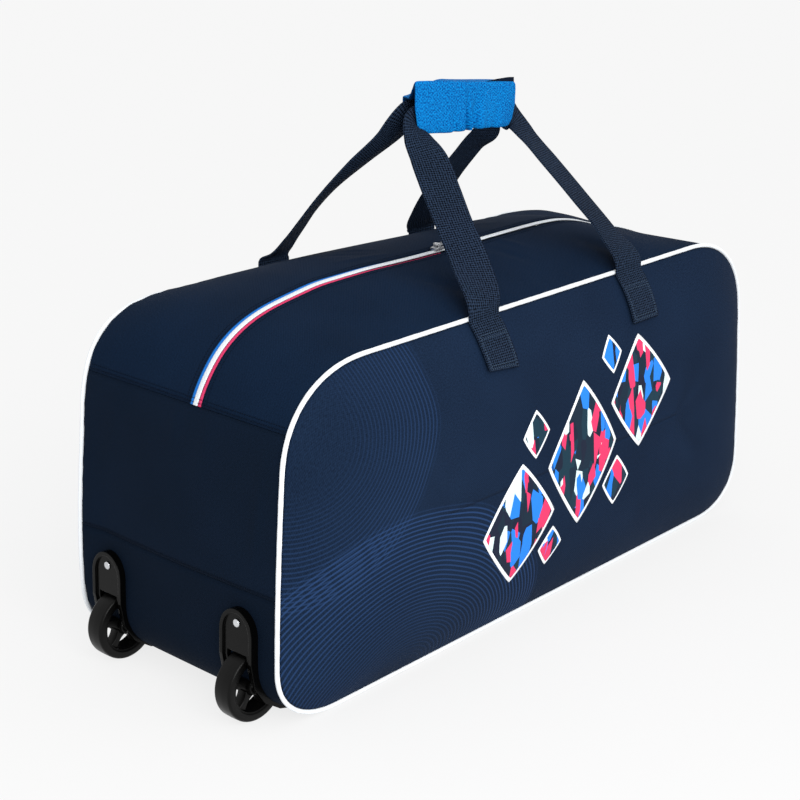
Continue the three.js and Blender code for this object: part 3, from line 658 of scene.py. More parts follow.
# %% Settling of the cloth
rng = np.random.default_rng(7)
SWELLS = [
    (rng.uniform(0.006, 0.02), rng.uniform(0.004, 0.016), rng.uniform(0.006, 0.02), rng.uniform(0, 6.28))
    for _ in range(7)
]
# share of the way round, outward push of the back edge in mm
BACK_PUSH = np.array(
    [
        (0.30, 0.0), (0.335, -3.0), (0.355, -5.6), (0.37, -7.6), (0.385, -7.2), (0.42, -4.6), (0.45, -3.8),
        (0.48, -1.6), (0.51, 1.0), (0.54, 3.6), (0.57, 4.7), (0.60, 5.4), (0.63, 6.7), (0.66, 10.2),
        (0.675, 8.6), (0.69, 3.2), (0.71, 2.8), (0.735, 4.6), (0.76, 6.2), (0.785, 5.8), (0.80, 3.0),
        (0.85, 2.0), (0.89, 0.8), (0.92, 0.0),
    ]
)
# place across the depth (the front is negative), outward push of the far shoulder in mm
SHOULDER_PUSH = np.array(
    [
        (-152, 0.0), (-138, 0.2), (-104, -0.9), (-60, -2.9), (22, -0.4), (66, 4.9), (105, 7.4),
        (128, 4.8), (152, 0.0)
    ]
)
SHOULDER, SHOULDER_REACH = 0.357, 0.042


def bump(t):
    """1 in the middle, 0 at -1 and 1, with level ends."""
    return np.where(np.abs(t) < 1, (1 - np.clip(np.abs(t), 0, 1) ** 2) ** 2, 0.0)


def ease(t):
    """0 below 0, 1 above 1, with a smooth step between."""
    t = np.clip(t, 0, 1)
    return t * t * (3 - 2 * t)


def smoothed(table, places, reach):
    """A table of (place, value) rows, read at places with its corners rounded over a reach."""
    total = 0.0
    for k in range(-3, 4):
        total = total + np.interp(places + k * reach / 3, table[:, 0], table[:, 1]) * (4 - abs(k))
    return total / 16


def swell(points):
    """A slow unevenness of about one unit, as a sum of long waves in a few directions."""
    total = 0.0
    for a, b, c, phase in SWELLS:
        total = total + np.sin(points[..., 0] * a + points[..., 1] * b + points[..., 2] * c + phase)
    return total / 3


# soft creases: from and to, as (distance round, place across), height in mm and half width in mm
CREASE_LINES = [
    ((1234, 76), (1206, 34), 1.3, 6.0), ((1280, 18), (1216, 8), 1.2, 6.0),
    ((1262, 66), (1236, 26), -1.1, 7.0), ((1070, -28), (1058, -70), 1.2, 6.0),
    ((1098, -52), (1084, -92), -1.3, 8.0), ((1004, 20), (1046, 62), 0.9, 9.0),
    ((1250, -62), (1206, -128), -1.8, 13.0), ((978, -84), (948, -128), -1.6, 12.0),
    ((1552, 2), (1600, 8), 1.3, 6.0), ((1552, -50), (1636, -34), 1.2, 9.0),
    ((1582, -128), (1712, -116), 1.2, 7.0), ((1556, 96), (1690, 122), 1.0, 12.0),
]


def crease_at(distance, y):
    """The creases' height: each is highest on its line and falls off like a bell curve to both sides."""
    total = 0.0 * distance * y
    for (d0, y0), (d1, y1), height, half in CREASE_LINES:
        along = ((distance - d0) * (d1 - d0) + (y - y0) * (y1 - y0)) / ((d1 - d0) ** 2 + (y1 - y0) ** 2)
        t = np.clip(along, 0, 1)
        off = (distance - d0 - t * (d1 - d0)) ** 2 + (y - y0 - t * (y1 - y0)) ** 2
        total = total + height * np.exp(-off / half**2) * (0.35 + 0.65 * np.sin(np.pi * t))
    return total


def push_at(distance, y):
    """How far the cloth is pushed outwards, at distances round the outline and places across the depth."""
    share = np.mod(distance, WHOLE) / WHOLE
    low = ease((share - 0.66) / 0.06)
    start, reach = -20 + 130 * low, 150 - 105 * low
    back = smoothed(BACK_PUSH, share, 0.012) * ease((y - start) / reach)
    return back + smoothed(SHOULDER_PUSH, y, 12.0) * bump((share - SHOULDER) / SHOULDER_REACH)


print("soft creases in the strips:", len(CREASE_LINES))


# %% [markdown]
# The strips round the bag stand out of the outline by a crown: nothing at the two pipings and most in
# the middle. How high the crown is changes along the way, and is largest over the top, where the bag is
# full. The stand is looked up in a table and smoothed.

# %% Strips that run round the bag
CROWN_HEIGHT = 35.0
CROWN_POWER = 1.85
BASE_FLAT = 0.8
BASE_POWER = 2.0
CLOTH = 2.0
GAP = 0.3
EDGE_Y = HALF_DEPTH - PIPING - GAP
CROWN_TABLE = np.array(
    [
        (0.0, 0.14), (0.24, 0.14), (0.316, 0.06), (0.35, 0.08), (0.365, 0.2), (0.382, 0.43), (0.401, 0.79),
        (0.415, 0.94), (0.43, 0.98), (0.478, 0.96), (0.53, 1.0), (0.565, 1.05), (0.6, 1.0), (0.625, 0.77),
        (0.644, 0.53), (0.657, 0.36), (0.671, 0.15), (0.685, 0.06), (0.76, 0.14), (1.0, 0.14),
    ]
)


def build_crown():
    """The crown's height at dense distances: the table, smoothed by a running mean done twice."""
    distance = np.linspace(0, WHOLE, 2401)
    stand = np.interp(distance / WHOLE, CROWN_TABLE[:, 0], CROWN_TABLE[:, 1]) * CROWN_HEIGHT
    kernel = np.ones(25) / 25
    for _ in range(2):
        padded = np.concatenate([stand[-13:-1], stand, stand[1:13]])
        stand = np.convolve(padded, kernel, "valid")
    return distance, stand


crown_distance, crown_stand = build_crown()
corner_start = line_distance[1]
corner_end = line_distance[121]


def base_share(distance):
    """1 on the base, 0 on the ends and the top, and a smooth step along the bottom corners."""
    d = np.minimum(np.mod(distance, WHOLE), WHOLE - np.mod(distance, WHOLE))
    return ease((corner_end - d) / (corner_end - corner_start))


def stand_at(distance, y):
    """How far a strip stands out of the outline, at distances round it and places across the depth."""
    share = base_share(distance)
    flat = BASE_FLAT * share
    power = CROWN_POWER + (BASE_POWER - CROWN_POWER) * share
    middle = np.interp(np.mod(distance, WHOLE), crown_distance, crown_stand)
    middle = middle * (1 - share) + BASE_DROP * share
    w = np.clip((np.abs(y) / HALF_DEPTH - flat) / (1 - flat), 0, 1)
    return middle * (1 - w**power)


def strip_points(distance, y, lift=0.0):
    """Points of a strip: the outline, moved outwards by the crown and a lift, then pushed and creased."""
    x, z = outline(distance)
    nx, nz = outward(distance)
    stand = stand_at(distance, y) + lift
    points = np.stack([x + nx * stand, y + 0 * x, z + nz * stand], -1)
    calm = 1 - base_share(distance)
    edge = 1 - (np.abs(y) / HALF_DEPTH) ** 6
    move = swell(points) * 1.2 * calm * edge + push_at(distance, y) + crease_at(distance, y)
    return points + np.stack([nx * move, 0 * move, nz * move], -1)


UPPER_SEAM, LOWER_SEAM, BASE_HALF, HALF_GAP = 315.0, 143.0, 322.0, GAP / 2
upper_far, lower_far = distance_at(UPPER_SEAM), distance_at(LOWER_SEAM)
upper_wheel, lower_wheel = WHOLE - upper_far, WHOLE - lower_far
SEAM_REACH, SEAM_DEPTH = 5.0, 1.1


def seam_dip(d, start, end):
    """Cloth turns down into a seam: it sinks at the two ends of a piece, over a few millimetres."""
    near = np.minimum(d - start, end - d)
    return -SEAM_DEPTH * np.exp(-np.clip(near, 0, None) / SEAM_REACH * 1.5)


def cloth_strip(name, node, seams, edges, columns, dips, material, slot):
    """A strip of cloth between two seams and two edges, with its edges turned down into the seams."""
    start, end = seams[0] + HALF_GAP, seams[1] - HALF_GAP
    y_low, y_high = edges
    rows = max(4, int((end - start) / 5))
    t = np.linspace(0, 1, rows)
    d = start + (end - start) * (t + 0.5 * (t - t**2) * (2 * t - 1) * -0.6)
    y = y_low + (y_high - y_low) * (0.5 - 0.5 * np.cos(np.linspace(0, np.pi, columns)))
    d, y = crossed(d, y)
    lift = seam_dip(d, start, end)
    near_low, near_high = y - y_low, y_high - y
    pucker = 0.45 * np.sin(d / 4.1 + 2 * np.sin(d / 37.0)) + 0.3 * np.sin(d / 9.7)
    for near, dip in ((near_low, dips[0]), (near_high, dips[1])):
        if dip:
            lift = lift - 0.9 * np.exp(-near / 3.0) + pucker * np.exp(-near / 9.0)
    grid = strip_points(d, y, lift)
    piece = new_object(name, grid_mesh(name, grid), material, "bag", [node])
    return thicken(piece, CLOTH)


print("seams at", [round(float(v)) for v in (upper_far, upper_wheel, lower_far, lower_wheel)], "mm")


# %% [markdown]
# The strips become seven pieces of cloth: two for the top, two for each end, and the base, each cut at
# its seams. A flat grid would do for a board, but cloth sags and creases, so every point is first moved
# by the settling of the step before; then the sheet gets its thickness, inwards.

# %% Top, ends and base
ZIP_Y = -21.0
COIL_WIDTH, TAPE_WIDTH, COIL_STAND, COIL_PITCH = 6.6, 4.3, 0.8, 2.2
front_tape = (ZIP_Y - COIL_WIDTH / 2 - GAP - TAPE_WIDTH, ZIP_Y - COIL_WIDTH / 2 - GAP)
back_tape = (ZIP_Y + COIL_WIDTH / 2 + GAP, ZIP_Y + COIL_WIDTH / 2 + GAP + TAPE_WIDTH)
full_depth, both = (-EDGE_Y, EDGE_Y), (True, True)
low_far, low_wheel = BASE_HALF, WHOLE - BASE_HALF

# the top, the ends and the bands wear the darker copies of the navy cloth, which are painted shade
# name, the CAD node it replaces, its seams, its edges, points across, which edges turn down, cloth
STRIPS = [
    ("top_cloth_front", "top_panel_front", (upper_far, upper_wheel), (-EDGE_Y, front_tape[0] - GAP),
     44, (True, False), top_cloth_painted_shade),
    ("top_cloth_back", "top_panel_back", (upper_far, upper_wheel), (back_tape[1] + GAP, EDGE_Y),
     56, (False, True), top_cloth_painted_shade),
    ("end_cloth_far", "end_panel_far", (lower_far, upper_far), full_depth, 70, both, end_cloth_painted_shade),
    ("end_cloth_wheel", "end_panel_wheel", (upper_wheel, lower_wheel), full_depth, 70, both, end_cloth_painted_shade),
    ("end_band_cloth_far", "end_band_far", (low_far, lower_far), full_depth, 70, both, band_cloth_painted_shade),
    ("end_band_cloth_wheel", "end_band_wheel", (lower_wheel, low_wheel), full_depth, 70, both, band_cloth_painted_shade),
]
for strip in STRIPS:
    cloth_strip(*strip, "navy_cloth")
base_seams = (low_wheel, WHOLE + BASE_HALF)
cloth_strip("base_cloth", "base_panel", base_seams, full_depth, 70, both, under_cloth, "base_cloth")
tell()

# %% [markdown]
# The zip is a white coil between a blue and a pink tape. The tapes are flat ribbons, and the coil is a
# ridge with a fine rib every 2 mm, so it is made as its own grid with the ribs in its height.

# %% Zip
SLIDER_X = -30.0
slider_distance = WHOLE / 2 - SLIDER_X
# how deep the tapes lie, how much deeper near the slider, and where that begins and ends past the slider
TAPE_SINK, SLIDER_SINK, SINK_START, SINK_END = 0.35, 1.3, 210, 40


def tape(name, start, end, edges, material, replaces):
    """A narrow ribbon with a slight bow, which lies deeper between the cloth's edges near the slider."""
    d, y = crossed(np.linspace(start, end, int((end - start) / 4)), np.linspace(*edges, 5))
    across = (y - edges[0]) / (edges[1] - edges[0])
    deep = TAPE_SINK + SLIDER_SINK * ease((slider_distance + SINK_START - d) / (SINK_START - SINK_END))
    grid = strip_points(d, y, 0.25 * (1 - (2 * across - 1) ** 2) - deep)
    piece = new_object(name, grid_mesh(name, grid), material, "bag", replaces)
    return thicken(piece, 1.2)


far_end, wheel_end = upper_far + HALF_GAP, upper_wheel - HALF_GAP
tape("zip_tape_pink", slider_distance, wheel_end, front_tape, pink_tape, ["zip_tape_front"])
tape("zip_tape_blue", slider_distance, wheel_end, back_tape, blue_tape, ["zip_tape_back"])
tape("zip_tape_navy_front", far_end, slider_distance - 0.5, front_tape, binding_cloth, [])
tape("zip_tape_navy_back", far_end, slider_distance - 0.5, back_tape, binding_cloth, [])


def coil():
    """The coil's ridge: a low arch across, with the ribs of its teeth as a wave along the zip."""
    count = int((wheel_end - far_end) / (COIL_PITCH / 4))
    d, t = crossed(np.linspace(far_end, wheel_end, count), np.linspace(-1, 1, 9))
    rib = 0.16 * np.cos(2 * np.pi * d / COIL_PITCH + np.pi * (t > 0) * 0.5)
    lift = COIL_STAND * (1 - 0.75 * t**4) + rib * (1 - t**6)
    grid = strip_points(d, ZIP_Y + t * COIL_WIDTH / 2, lift)
    mesh = grid_mesh("zip_coil_white", grid)
    piece = new_object("zip_coil_white", mesh, coil_white, "bag", ["zip_coil"])
    return thicken(piece, 1.6)


coil()
tell()

# %% [markdown]
# The front and back panels belly out. A panel is a set of rings, from its seam at the piping to its
# middle line, and the belly rises steeply at the seam and levels off inside.

# %% Front and back panels
PANEL_BULGE, BULGE_POWER = 44.0, 3.2
SPINE = TOP_HALF - BAG_HEIGHT / 2


def panel_points(distance, share, side, lift=0.0):
    """Points of a panel: from the seam (share 0) to the middle line (share 1), bellied out and pushed."""
    x, z = outline(distance)
    nx, nz = outward(distance)
    inset = PIPING + GAP
    x, z = x - nx * inset, z - nz * inset
    middle = np.clip(x, -SPINE, SPINE)
    px = x + (middle - x) * share
    pz = z + (BAG_HEIGHT / 2 - z) * share
    belly = PANEL_BULGE * (1 - (1 - share) ** BULGE_POWER)
    near = share * BAG_HEIGHT / 2
    pucker = 0.5 * np.sin(distance / 4.3 + 2 * np.sin(distance / 41.0)) + 0.35 * np.sin(distance / 10.3)
    belly = belly + pucker * np.exp(-near / 10.0) * ease(near / 3)
    points = np.stack([px, side * (HALF_DEPTH + belly + lift), pz], -1)
    points[..., 1] += side * swell(points) * 1.6 * ease(share / 0.3)
    move = push_at(distance, side * HALF_DEPTH + 0 * share) * (1 - share) ** 2
    return points + np.stack([nx * move, 0 * move, nz * move], -1)


def panel(name, side, material, replaces):
    """A closed set of rings; the innermost lies on the middle line, where the two halves meet."""
    shares = np.concatenate([[0, 0.012, 0.03], np.linspace(0.055, 1, 44) ** 1.15])
    d, s = crossed(np.linspace(0, WHOLE, 520, endpoint=False), shares)
    grid = panel_points(d, s, side, CLOTH / 2)
    piece = new_object(name, grid_mesh(name, grid, ring_rows=True, flip=side < 0), material, "bag",
                       replaces)
    return thicken(piece, CLOTH)


panel("front_cloth", -1, printed_cloth, ["front_panel"])
panel("back_cloth", 1, panel_cloth, ["back_panel"])
tell()

# %% [markdown]
# The piping is a cord under a white strip of cloth, sewn in between the panel and the side. It is a tube
# round the whole outline, a little uneven along its length where the cloth is pulled tight.

# %% Piping
# along the top, the cord at the back lies behind the edge of the cloth, this many millimetres lower
CORD_SINK = 3.0


def piping(name, side, replaces):
    """A tube of sixteen sides round the outline, its radius changed a little by two waves."""
    d, a = crossed(np.linspace(0, WHOLE, 900, endpoint=False), np.arange(16) * 2 * np.pi / 16)
    x, z = outline(d)
    nx, nz = outward(d)
    radius = PIPING * (1 + 0.03 * np.sin(d / 6.1) + 0.02 * np.sin(d / 2.3 + 1))
    out = radius * np.sin(a)
    share = d / WHOLE
    sunk = CORD_SINK * ease((share - 0.34) / 0.04) * ease((0.668 - share) / 0.025) if side > 0 else 0.0
    out = out + push_at(d, side * HALF_DEPTH + 0 * d) - sunk
    grid = np.stack([x + nx * out, side * (HALF_DEPTH + 0.3 * sunk) + radius * np.cos(a), z + nz * out], -1)
    return new_object(name, grid_mesh(name, grid, ring_rows=True, ring_columns=True, flip=True), piping_cloth,
                      "bag", replaces)


piping("front_cord", -1, ["front_piping"])
piping("back_cord", 1, ["back_piping"])
tell()

# %% [markdown]
# The big print is a rising row of lozenges, three large and four small. Each is a patch that hugs
# the cloth, worked out as rings from its centre to its outline. A white patch lies under a smaller patch
# of coloured facets, so the white shows as an even rim.

# %% Printed lozenges
LOZENGE_LEAN = np.tan(np.radians(2))
LOZENGE_POWER = 1.1
# centre x and z, half width, half height and rim, in mm on the panel
LOZENGES = [
    (-92, 138, 62, 72, 3.8), (20, 192, 64, 86, 3.8), (134, 238, 60, 68, 3.8),
    (-66, 238, 23, 28, 2.8), (-30, 92, 21, 25, 2.8), (82, 294, 19, 22, 2.8), (86, 140, 26, 31, 2.8),
]


def on_front(x, z, lift):
    """Points on the front panel above places (x, z), by the panel's own formula, lifted off its cloth."""
    upper = z > BAG_HEIGHT / 2
    distance = np.where(upper, WHOLE / 2 - x, x)
    inset = PIPING + GAP
    share = 1 - np.abs(z - BAG_HEIGHT / 2) / (BAG_HEIGHT / 2 - inset)
    return panel_points(distance, share, -1, CLOTH / 2 + lift)


def lozenge(name, number, shrink, lift, material):
    """Rings of a superellipse |u|^p + |v|^p = 1, slanted; its sides are drawn in by a share of the rim."""
    cx, cz, wide, tall, rim = LOZENGES[number]
    side = np.hypot(wide, tall)
    wide, tall = wide - shrink * rim * side / tall, tall - shrink * rim * side / wide
    angle, r = crossed(full_turn(160), np.linspace(0, 1, 22))
    c, s = np.cos(angle), np.sin(angle)
    reach = r / (np.abs(c) ** LOZENGE_POWER + np.abs(s) ** LOZENGE_POWER) ** (1 / LOZENGE_POWER)
    x, z = cx + wide * reach * c, cz + tall * reach * s
    x = x + (z - cz) * LOZENGE_LEAN
    mesh = weld(grid_mesh(name, on_front(x, z, lift), ring_rows=True))
    return thicken(new_object(name, mesh, material, "bag", []), 0.3, 0.0)


for number in range(len(LOZENGES)):
    lozenge(f"print_rim_{number}", number, 0.0, 0.25, white_print)
    lozenge(f"print_facets_{number}", number, 1.0, 0.55, facet_print)
print(len(LOZENGES), "printed lozenges, the first with centre, half sizes and rim in mm:", LOZENGES[0])
tell()

# %% [markdown]
# Rows of stitches hold the seams. One stitch is a small bead of a few faces; a row repeats it along a
# path that lies on the cloth, and all the rows of one kind are one mesh.

# %% Stitches
STITCH_LONG, STITCH_WIDE, STITCH_PITCH = 2.3, 0.5, 3.4


def stitch_template():
    """A bead in its own frame (along, across, up): five rings of six points, pinched at the ends."""
    t, a = crossed(np.linspace(-1, 1, 5), np.arange(6) * np.pi / 3)
    waist = np.sqrt(np.clip(1 - t**4, 0.06, 1))
    return np.stack([t * STITCH_LONG / 2, waist * STITCH_WIDE * np.cos(a), waist * 0.35 * np.sin(a)], -1)


def stitch_row(points, normals):
    """Stitches at even steps along a path of dense points, each turned to the path and the cloth."""
    places = lengths_along(points)
    at = np.arange(STITCH_PITCH / 2, places[-1], STITCH_PITCH)
    centre = look_up(at, places, points)
    up = unit(look_up(at, places, normals))
    along = unit(look_up(at + 0.5, places, points) - look_up(at - 0.5, places, points))
    side = np.cross(up, along)
    bead = stitch_template().reshape(-1, 3)
    return (centre[:, None] + along[:, None] * bead[None, :, :1] + side[:, None] * bead[None, :, 1:2]
            + up[:, None] * bead[None, :, 2:])


def stitch_mesh(name, rows, material):
    """All the stitches of some rows as one mesh."""
    beads = np.concatenate(rows)
    corner_i, corner_j = grid_faces(5, 6, False, True)
    sides = corner_i * 6 + corner_j % 6
    caps = np.array([[0, 3, 2, 1], [0, 5, 4, 3], [24, 25, 26, 27], [24, 27, 28, 29]])
    faces = np.concatenate([sides, caps[:, ::-1]])
    offsets = np.arange(len(beads))[:, None, None] * 30
    mesh = mesh_of(name, beads.reshape(-1, 3), (faces[None] + offsets).reshape(-1, 4))
    return new_object(name, mesh, material, "bag", [])


def strip_path(d, y, lift=0.25):
    """A dense path on the strips with its normals, from distances and places across."""
    d, y = np.broadcast_arrays(np.asarray(d, float), np.asarray(y, float))
    points = strip_points(d, y, lift)
    along = strip_points(d + 1.0, y, lift) - points
    across = strip_points(d, y + 1.0, lift) - points
    normal = unit(np.cross(across, along))
    nx, nz = outward(d)
    flip = np.sign(normal[:, 0] * nx + normal[:, 2] * nz)[:, None]
    return points, normal * flip


def all_stitches():
    """Rows beside the zip, along the seams of the ends, and beside the pipings on the strips."""
    rows = []
    zip_way = np.linspace(far_end + 2, wheel_end - 2, 1200)
    for y in (front_tape[0] - 2.0, front_tape[0] - 6.5, back_tape[1] + 2.0, back_tape[1] + 6.5):
        rows.append(stitch_row(*strip_path(zip_way, y)))
    across = np.linspace(-EDGE_Y + 4, EDGE_Y - 4, 400)
    for d in (upper_far + 3, upper_far + 7, upper_wheel - 3, upper_wheel - 7, lower_far + 3, lower_wheel - 3):
        lift = 0.15 + 0 * across
        rows.append(stitch_row(*strip_path(d + 0 * across, across, lift)))
    return stitch_mesh("stitches_seams", rows, thread_navy)


all_stitches()
tell()

# %% [markdown]
# The handles are flat webbing. Each is carried along one smooth curve: up from its stitched end, over
# the piping, through the wrap, and down again. A table for each leg says how far its middle strays from
# the straight way to the wrap, how far its width has turned, how wide it still spreads, and how far its
# two halves are folded together.

# %% Handles
STRAP_WIDTH, STRAP_THICKNESS, STRAP_TAIL, STRAP_LIFT = 48.0, 2.0, 56.0, 0.5
STRAP_SIDE_ROOM, STRAP_STEP = 9.0, 2.5
# where the box stitches run on a strap's end, as distances from its cut edge and the share of its width
BOX_START, BOX_END, BOX_SIDE, BOX_INSET = 3.5, STRAP_TAIL - 12, 0.87, 4
# how far the near ends are cut askew on each side, in mm, and how soon the skew fades
END_SKEW, SKEW_REACH = {-1: 5.5, 1: 1.5}, 12.0
STITCH_RISE = STRAP_THICKNESS / 2 + 0.35
LEGS = {
    # x on the bag, where it enters the wrap, how its width tilts and narrows there,
    # rows of (share of the way up, lean, turn, share of the width, fold)
    "front_near": (-110.0, (-57.0, -9.0, 559.0), (0.42, 0.62),
                   [(0.247, -0.128, -16, 1, 0), (0.46, -0.066, -14, 1, 0), (0.645, -0.055, -17, 1, 0),
                    (0.8, -0.053, -14, 1, 0), (0.9, 0.03, -10, 0.84, 0.1)]),
    "front_far": (153.0, (116.3, -9.0, 540.5), (-0.1, 0.75),
                  [(0.225, -0.2, 18, 1, 0), (0.468, -0.16, 20, 1, 0), (0.703, -0.1, 20, 1, 0),
                   (0.888, -0.05, 19, 1, 0)]),
    "back_near": (-118.0, (-47.7, 9.0, 560.3), (0.5, 0.84),
                  [(0.07, 0.04, -14, 1, 0), (0.203, 0.18, -22, 1, 0), (0.345, 0.34, -25, 1, 0),
                   (0.49, 0.39, -21, 1, 0.05), (0.69, 0.24, -8, 1, 0.12), (0.873, -0.04, 4, 1, 0.2)]),
    "back_far": (143.0, (93.0, 9.0, 532.0), (0.1, 0.95),
                 [(0.05, 0.02, 4, 1, 0), (0.12, 0.2, 6, 1, 0), (0.23, 0.28, 8, 1, 0), (0.51, 0.36, 5, 1, 0),
                  (0.782, 0.2, 7, 0.92, 0)]),
}
# Inside the wrap: x, z, the width direction's x and z, how wide
INSIDE = {
    -1: [(-34.0, 566.0, -0.1, -1.0, 0.6), (33.0, 563.0, 0.0, -1.0, 0.6), (80.0, 557.0, -0.3, -0.95, 0.58),
         (98.0, 550.0, -0.8, -0.6, 0.64)],
    1: [(-34.0, 566.0, -0.1, -1.0, 0.6), (33.0, 563.0, 0.0, -1.0, 0.6), (84.0, 558.0, -0.45, -0.9, 0.7),
        (97.0, 548.0, -0.9, -0.45, 0.9)],
}


def leg_rows(name, side):
    """Centres, width directions, widths and folds of one leg, from the stitched end to the wrap."""
    x, mouth, (bend, narrow), rows = LEGS[name]
    mouth = np.array(mouth)
    distance = np.array([WHOLE / 2 - x])
    centres = []
    for share in (0, 0.25, 0.5, 0.75, 1):
        drop = STRAP_TAIL * (1 - share)
        seat = panel_points(distance, np.array([drop / (BAG_HEIGHT / 2)]), side, CLOTH)[0]
        out = max(abs(seat[1]) - HALF_DEPTH, PIPING * share + 0.4)
        rise = float(push_at(distance, np.array([side * HALF_DEPTH]))[0])
        y = side * (HALF_DEPTH + out + STRAP_LIFT + STRAP_THICKNESS / 2)
        centres.append((x, y, BAG_HEIGHT - drop + rise))
    start = np.array(centres[-1]) + (0, 0, 2 * PIPING)
    centres.append(start)
    directions, widths, folds = [(1.0, 0.0, 0.0)] * 6, [STRAP_WIDTH] * 6, [0.0] * 6
    for up, lean, turn, wide, fold in rows:
        centres.append(start + (mouth - start) * up - np.array([lean, 0, 0]) * STRAP_WIDTH)
        directions.append((np.cos(np.radians(turn)), -side * np.sin(np.radians(turn)), 0.0))
        widths.append(STRAP_WIDTH * wide)
        folds.append(fold)
    centres.append(mouth)
    directions.append((1 - abs(bend), 0.0, -bend))
    widths.append(STRAP_WIDTH * narrow)
    folds.append(folds[-1] * 0.7)
    return [np.array(rows, float) for rows in (centres, directions, widths, folds)]


def strap_rows(side, near, far):
    """All the rows of one strap, over the near leg, the inside of the wrap and the far leg."""
    first, last = leg_rows(near, side), leg_rows(far, side)
    inside = np.array(INSIDE[side])
    middle = np.stack([inside[:, 0], side * STRAP_SIDE_ROOM + 0 * inside[:, 0], inside[:, 1]], 1)
    across = np.stack([inside[:, 2], 0 * inside[:, 2], inside[:, 3]], 1)
    centres = np.concatenate([first[0], middle, last[0][::-1]])
    directions = np.concatenate([first[1], across, -last[1][::-1]])
    widths = np.concatenate([first[2], STRAP_WIDTH * inside[:, 4], last[2][::-1]])
    folds = np.concatenate([first[3], 0 * inside[:, 4], last[3][::-1]])
    return centres, directions, widths, folds


def smooth_through(values, knots, places):
    """A curve through rows of values at knots. The slope at a knot is the mean of the two chords beside it,
    each weighed by the length of the other one, so that uneven steps give no overshoot."""
    values = values.reshape(len(values), -1)
    steps = np.diff(knots)[:, None]
    chords = np.diff(values, axis=0) / steps
    slope = np.concatenate([chords[:1], (chords[:-1] * steps[1:] + chords[1:] * steps[:-1])
                            / (steps[1:] + steps[:-1]), chords[-1:]])
    k = np.clip(np.searchsorted(knots, places, "right") - 1, 0, len(knots) - 2)
    h = (knots[k + 1] - knots[k])[:, None]
    t = ((places - knots[k]) / (knots[k + 1] - knots[k]))[:, None]
    a, b = values[k], values[k + 1]
    return (a * (2 * t**3 - 3 * t**2 + 1) + slope[k] * h * (t**3 - 2 * t**2 + t)
            + b * (3 * t**2 - 2 * t**3) + slope[k + 1] * h * (t**3 - t**2))


def strap_frames(side, near, far):
    """The strap's middle line, its width and face directions, widths and folds, at even steps."""
    centres, directions, widths, folds = strap_rows(side, near, far)
    knots = lengths_along(centres)
    places = np.linspace(0, knots[-1], int(knots[-1] / STRAP_STEP))
    line = smooth_through(centres, knots, places)
    tangent = unit(np.gradient(line, axis=0))
    across = smooth_through(directions, knots, places)
    across = unit(across - (across * tangent).sum(1, keepdims=True) * tangent)
    normal = np.cross(tangent, across)
    width = smooth_through(widths, knots, places)[:, 0]
    fold = np.clip(smooth_through(folds, knots, places)[:, 0], 0, 1)
    return places, line, across, normal, width, fold


def strap(name, side, near, far, replaces):
    """A band with rounded edges, carried along the curve; a fold bends its two halves together."""
    places, line, across, normal, width, fold = strap_frames(side, near, far)
    flat = np.linspace(-1, 1, 17)
    rim = np.array([0.5, 0.85, 1.0, 0.85, 0.5]) * 0.55
    edge_v = np.array([0.8, 0.45, 0.0, -0.45, -0.8])
    u = np.concatenate([flat, 1 + rim * 2 / STRAP_WIDTH, flat[::-1], -1 - rim * 2 / STRAP_WIDTH])
    v = np.concatenate([np.ones(17), edge_v, -np.ones(17), -edge_v])
    bend = fold[:, None] * width[:, None] / 2 * (np.sqrt(u**2 + 0.02)[None] - 0.5)
    shrink = 1 - 0.25 * fold[:, None]
    cup = 0.6 * np.sin(places / 31.0 + side)[:, None] * (u[None] ** 2 - 0.4)
    thick = STRAP_THICKNESS / 2
    grid = (line[:, None] + across[:, None] * (u[None] * width[:, None] / 2 * shrink)[..., None]
            + normal[:, None] * (v[None] * thick + bend + cup)[..., None])
    # the near end is cut a little askew
    skew = END_SKEW[side] * np.exp(-places / SKEW_REACH)
    grid[..., 2] += skew[:, None] * (1 - u[None]) / 2
    # the two cut ends are closed by drawing the last ring in to its middle
    first, last = (ring.mean(1, keepdims=True) + 0 * ring for ring in (grid[:1], grid[-1:]))
    grid = np.concatenate([first, grid, last])
    mesh = weld(grid_mesh(name, grid, ring_columns=True, flip=True))
    return new_object(name, mesh, webbing_cloth, "bag", replaces)


strap("handle_webbing_front", -1, "front_near", "front_far", ["handle_front"])
strap("handle_webbing_back", 1, "back_near", "back_far", ["handle_back"])
tell()

# %% [markdown]
# Each strap's end is sewn to the panel by a box of stitches with two lines across it.

# %% Box stitches
def end_point(frames, p, u, side, skew):
    """Points on a strap's outer face, from the distance to its cut end and the place across, -1 to 1."""
    places, line, across, normal, width = frames
    up = look_up(p, places, normal)
    up *= np.sign(up[:, 1:2] * side)
    way = look_up(p, places, across) * (u * np.interp(p, places, width) / 2)[:, None]
    points = look_up(p, places, line) + way + up * STITCH_RISE
    points[:, 2] += skew * np.exp(-p / SKEW_REACH) * (1 - u) / 2
    return points, up


def box_stitches():
    """Boxes with two more lines across, on the outer face of the four strap ends."""
    low, high, reach = BOX_START, BOX_END, BOX_SIDE
    corners = [(low, -reach), (low, reach), (high, reach), (high, -reach), (low, -reach)]
    lines = list(zip(corners[:-1], corners[1:]))
    for place in (low + BOX_INSET, high - BOX_INSET):
        lines.append(((place, -reach), (place, reach)))
    rows = []
    for side, near, far in ((-1, "front_near", "front_far"), (1, "back_near", "back_far")):
        places, line, across, normal, width, _ = strap_frames(side, near, far)
        there = (places, line, across, normal, width)
        back = (places[-1] - places[::-1], line[::-1], across[::-1], normal[::-1], width[::-1])
        for frames, skew in ((there, END_SKEW[side]), (back, 0.0)):
            for (p0, u0), (p1, u1) in lines:
                t = np.linspace(0, 1, 80)
                p, u = p0 + (p1 - p0) * t, u0 + (u1 - u0) * t
                rows.append(stitch_row(*end_point(frames, p, u, side, skew)))
    print("rows of box stitches", len(rows))
    return stitch_mesh("stitches_straps", rows, thread_web)


